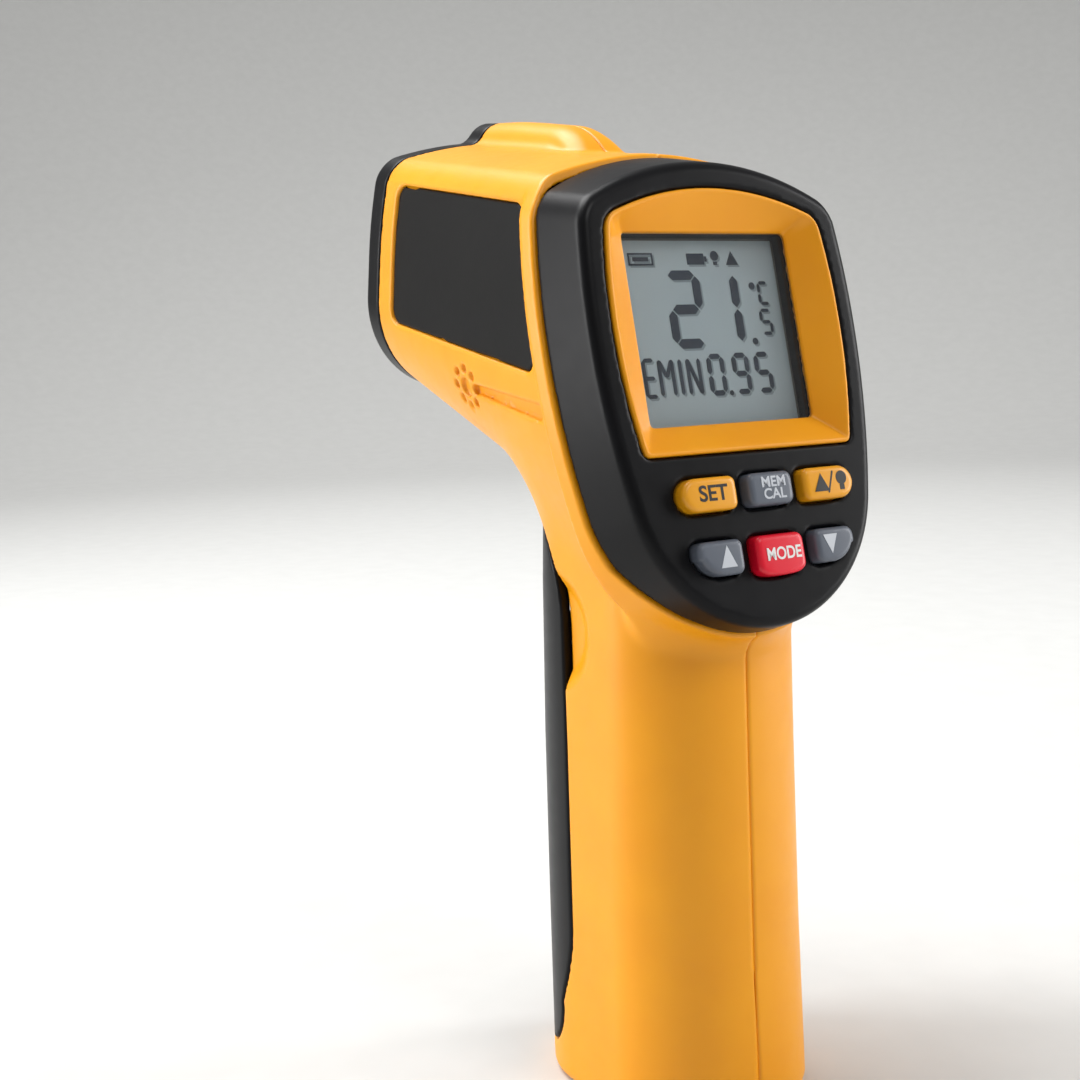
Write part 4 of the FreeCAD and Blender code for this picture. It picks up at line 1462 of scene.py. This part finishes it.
@dataclass(frozen=True)
class BatteryDoor:
    """Black front of the grip, hinged at its foot and slotted at its head for the trigger."""
    slot: float = 8.0
    slot_low: float = 82.0
    knuckle: float = 2.5
    knuckle_half: float = 6.0
    pin_bore: float = 1.35
    pin_half: float = 10.0
    step: float = 0.55

    def build(self) -> None:
        """Net the door."""
        net = Net(LEVEL, (-20.6, 3.6, -32.5), (20.6, 117.6, -2.6), self.step)
        fit(net.mesh("visual_battery_door", self.shape), Slot.HOUSING, "battery_door_body", "battery_door")

    def shape(self, x: Array, y: Array, z: Array) -> Array:
        """Field of the door: the grip's skin inside the door outline, less the trigger slot.

        Args:
            x: World X in millimetres.
            y: World Y in millimetres.
            z: World Z in millimetres.

        Returns:
            The field, negative inside.
        """
        grip = FORM.handle(x, y, z)
        skin = both(grip, FORM.door_side(x, z), 0.5)
        skin = np.maximum(skin, -grip - FORM.wall)
        skin = without(skin, FORM.head(x, y, z) - FORM.gap, 0.4)
        notch = both(np.abs(y) - self.slot, self.slot_low - z, 2.0)
        skin = without(skin, notch, 0.5)
        hinge_x, hinge_z = FORM.hinge
        middle = np.abs(y) - self.knuckle_half
        knuckle = np.maximum(rod(x, z, FORM.hinge, self.knuckle), middle)
        web = np.maximum(slab(x, hinge_x - 6.8, hinge_x), slab(z, hinge_z - 1.2, hinge_z + 1.6))
        skin = np.minimum(skin, np.minimum(knuckle, np.maximum(web, middle)))
        return np.maximum(skin, -np.maximum(rod(x, z, FORM.hinge, self.pin_bore), np.abs(y) - self.pin_half))


@dataclass(frozen=True)
class Trigger:
    """Finger trigger, rounded and standing proud of the door."""
    half: float = 7.5
    proud: float = 3.8
    pivot: tuple[float, float] = (-9.5, 103.5)
    boss: float = 2.5
    pin_bore: float = 1.3
    step: float = 0.5

    def build(self) -> None:
        """Net the trigger."""
        net = Net(LEVEL, (-8.5, 83.0, -31.0), (8.5, 107.0, -5.9), self.step)
        fit(net.mesh("visual_trigger", self.shape), Slot.HOUSING, "trigger_body", "trigger")

    def shape(self, x: Array, y: Array, z: Array) -> Array:
        """Field of the trigger, its pivot boss and the plunger that works the switch.

        Args:
            x: World X in millimetres.
            y: World Y in millimetres.
            z: World Z in millimetres.

        Returns:
            The field, negative inside.
        """
        corners = [(-15.8, 102.8), (-27, 101), (-30, 94), (-30, 85.5), (-22, 84.2), (-17.5, 84.2),
                   (-14.4, 88), (-11.6, 95), (-9.5, 103.5)]
        blade = both(FORM.handle(x, y, z) - self.proud, polygon(x, z, corners, 1.0), 2.0)
        blade = both(blade, np.abs(y) - self.half, 3.2)
        boss = both(rod(x, z, self.pivot, self.boss), np.abs(y) - self.half, 0.4)
        plunger = both(both(slab(x, -13.0, -6.8), slab(z, 92.2, 95.2), 0.3), np.abs(y) - 2, 0.3)
        solid = np.minimum(np.minimum(blade, boss), plunger)
        return np.maximum(solid, -rod(x, z, self.pivot, self.pin_bore))


# ------------------------------------------------------------------ pieces carried over

@dataclass(frozen=True)
class Carried:
    """Finishes for the CAD pieces that are shown as they are, with their edges broken."""
    slots: dict = field(default_factory=lambda: {
        Slot.STEEL: ("shell_screws", "door_hinge_pin", "trigger_pin", "trigger_spring"),
        Slot.WINDOW: ("lcd_window", "laser_window"),
        Slot.HOUSING: ("lcd_holder", "lens_barrel", "battery_tray", "trigger_switch", "buzzer"),
        Slot.LCD: ("lcd_panel",),
        Slot.BOARD: ("display_board", "sensor_board", "main_board"),
        Slot.RUBBER: ("elastomer_connectors", "keypad_mat"),
        Slot.LENS: ("ir_lens",),
        Slot.NICKEL: ("thermopile_sensor", "battery_terminals"),
        Slot.BRASS: ("laser_module",),
        Slot.WRAP: ("battery",),
        Slot.PANEL: ("battery_snap",),
        Slot.WIRE: ("battery_wires",)})
    smooth_edge: float = 0.15

    def dress(self, nodes: dict) -> None:
        """Give each node its finish and a small bevel.

        Args:
            nodes: CAD node objects by name.
        """
        for slot, names in self.slots.items():
            for name in names:
                piece = nodes[name]
                PALETTE.paint(piece, slot)
                bevel = piece.modifiers.new("broken_edges", "BEVEL")
                bevel.width, bevel.segments, bevel.limit_method = self.smooth_edge * MM, 2, "ANGLE"
                bevel.angle_limit = math.radians(40)
                bevel.harden_normals = False


# ------------------------------------------------------------------ studio

@dataclass(frozen=True)
class Softbox:
    """One large soft light aimed at the object."""
    name: str
    place: tuple[float, float, float]
    size: float
    power: float
    tall: float = 0.0
    aim: tuple[float, float, float] = (-0.01, 0.0, 0.11)

    def build(self) -> None:
        """Hang the light."""
        light = bpy.data.lights.new(self.name, "AREA")
        light.shape, light.size, light.energy = "RECTANGLE", self.size, self.power
        light.size_y = self.tall or self.size
        holder = bpy.data.objects.new(self.name, light)
        holder.location = self.place
        holder.rotation_euler = (Vector(self.aim) - Vector(self.place)).to_track_quat("-Z", "Y").to_euler()
        bpy.context.scene.collection.objects.link(holder)


@dataclass(frozen=True)
class Studio:
    """Pale sweep, soft lights and the camera."""
    lens: float = 54.12
    yaw: float = 32.16
    pitch: float = 5.51
    roll: float = -2.14
    place: tuple[float, float, float] = (230.5, -169.2, 131.3)
    rise: float = -0.0343
    lights: tuple[Softbox, ...] = (
        Softbox("overhead", (-0.35, -0.15, 1.0), 0.6, 11.0),
        Softbox("strip_left", (-0.5, -0.8, 0.35), 0.35, 9.0, 0.9),
        Softbox("strip_right", (0.45, 0.9, 0.30), 0.3, 8.0, 0.9),
        Softbox("fill_display", (0.85, 0.1, 0.95), 0.35, 3.4),
        Softbox("backdrop", (-0.7, 0.35, 1.3), 0.6, 14.0, aim=(-2.0, 1.25, 0.35)))

    def build(self) -> None:
        """Lay the sweep, hang the lights and set the camera."""
        self.sweep()
        for light in self.lights:
            light.build()
        world = bpy.data.worlds.new("studio_white")
        world.use_nodes = True
        back = world.node_tree.nodes["Background"]
        back.inputs["Color"].default_value = linear("#FFFFFF")
        back.inputs["Strength"].default_value = 0.3
        bpy.context.scene.world = world
        bpy.context.scene.view_settings.view_transform = "Standard"
        self.camera()

    def sweep(self) -> None:
        """A plain floor that curves up into a backdrop on every side."""
        reach, flat, steepness = 3.2, 0.45, 1.6 / 0.3
        rings, turns = 40, 96
        turn = 2 * math.pi / turns
        points, faces = [(0.0, 0.0, 0.0)], []
        for k in range(1, rings + 1):
            share = k / rings
            radius = reach * share
            height = steepness * max(0.0, share - flat) ** 2
            circle = [(radius * math.cos(turn * j), radius * math.sin(turn * j)) for j in range(turns)]
            points += [(across, along, height) for across, along in circle]
        faces += [[0, 1 + j, 1 + (j + 1) % turns] for j in range(turns)]
        for k in range(rings - 1):
            low, high = 1 + k * turns, 1 + (k + 1) * turns
            for j in range(turns):
                after = (j + 1) % turns
                faces.append([low + j, high + j, high + after, low + after])
        mesh = bpy.data.meshes.new("studio_sweep")
        mesh.from_pydata(points, [], faces)
        mesh.shade_smooth()
        floor = bpy.data.objects.new("studio_sweep", mesh)
        bpy.context.scene.collection.objects.link(floor)
        floor.data.materials.append(PAPER.material())

    def camera(self) -> None:
        """Set the camera by position, yaw, pitch and roll."""
        yaw, pitch, roll = (math.radians(a) for a in (self.yaw, self.pitch, self.roll))
        ahead = Vector((-math.cos(yaw) * math.cos(pitch), math.sin(yaw) * math.cos(pitch), -math.sin(pitch)))
        right = ahead.cross(Vector((0, 0, 1))).normalized()
        up = right.cross(ahead)
        turned = right * math.cos(roll) + up * math.sin(roll)
        upright = up * math.cos(roll) - right * math.sin(roll)
        data = bpy.data.cameras.new("studio_camera")
        data.lens, data.sensor_width, data.shift_y = self.lens, 36.0, self.rise
        data.dof.use_dof = False
        holder = bpy.data.objects.new("studio_camera", data)
        turn = Matrix((turned, upright, -ahead)).transposed().to_4x4()
        holder.matrix_world = Matrix.Translation(Vector(self.place) * MM) @ turn
        bpy.context.scene.collection.objects.link(holder)
        bpy.context.scene.camera = holder


def main() -> None:
    """Build the looks in order."""
    logging.basicConfig(level=logging.INFO, format="%(message)s")
    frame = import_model()
    Carried().dress(frame["nodes"])
    for part in (Shells(), SidePanels(), NoseCap(), Bezel(), DisplayFrame(), Keypad(), Legends(), Readout(),
                 BatteryDoor(), Trigger()):
        part.build()
        LOG.info("built %s", type(part).__name__)
    Studio().build()


if __name__ == "__main__":
    main()
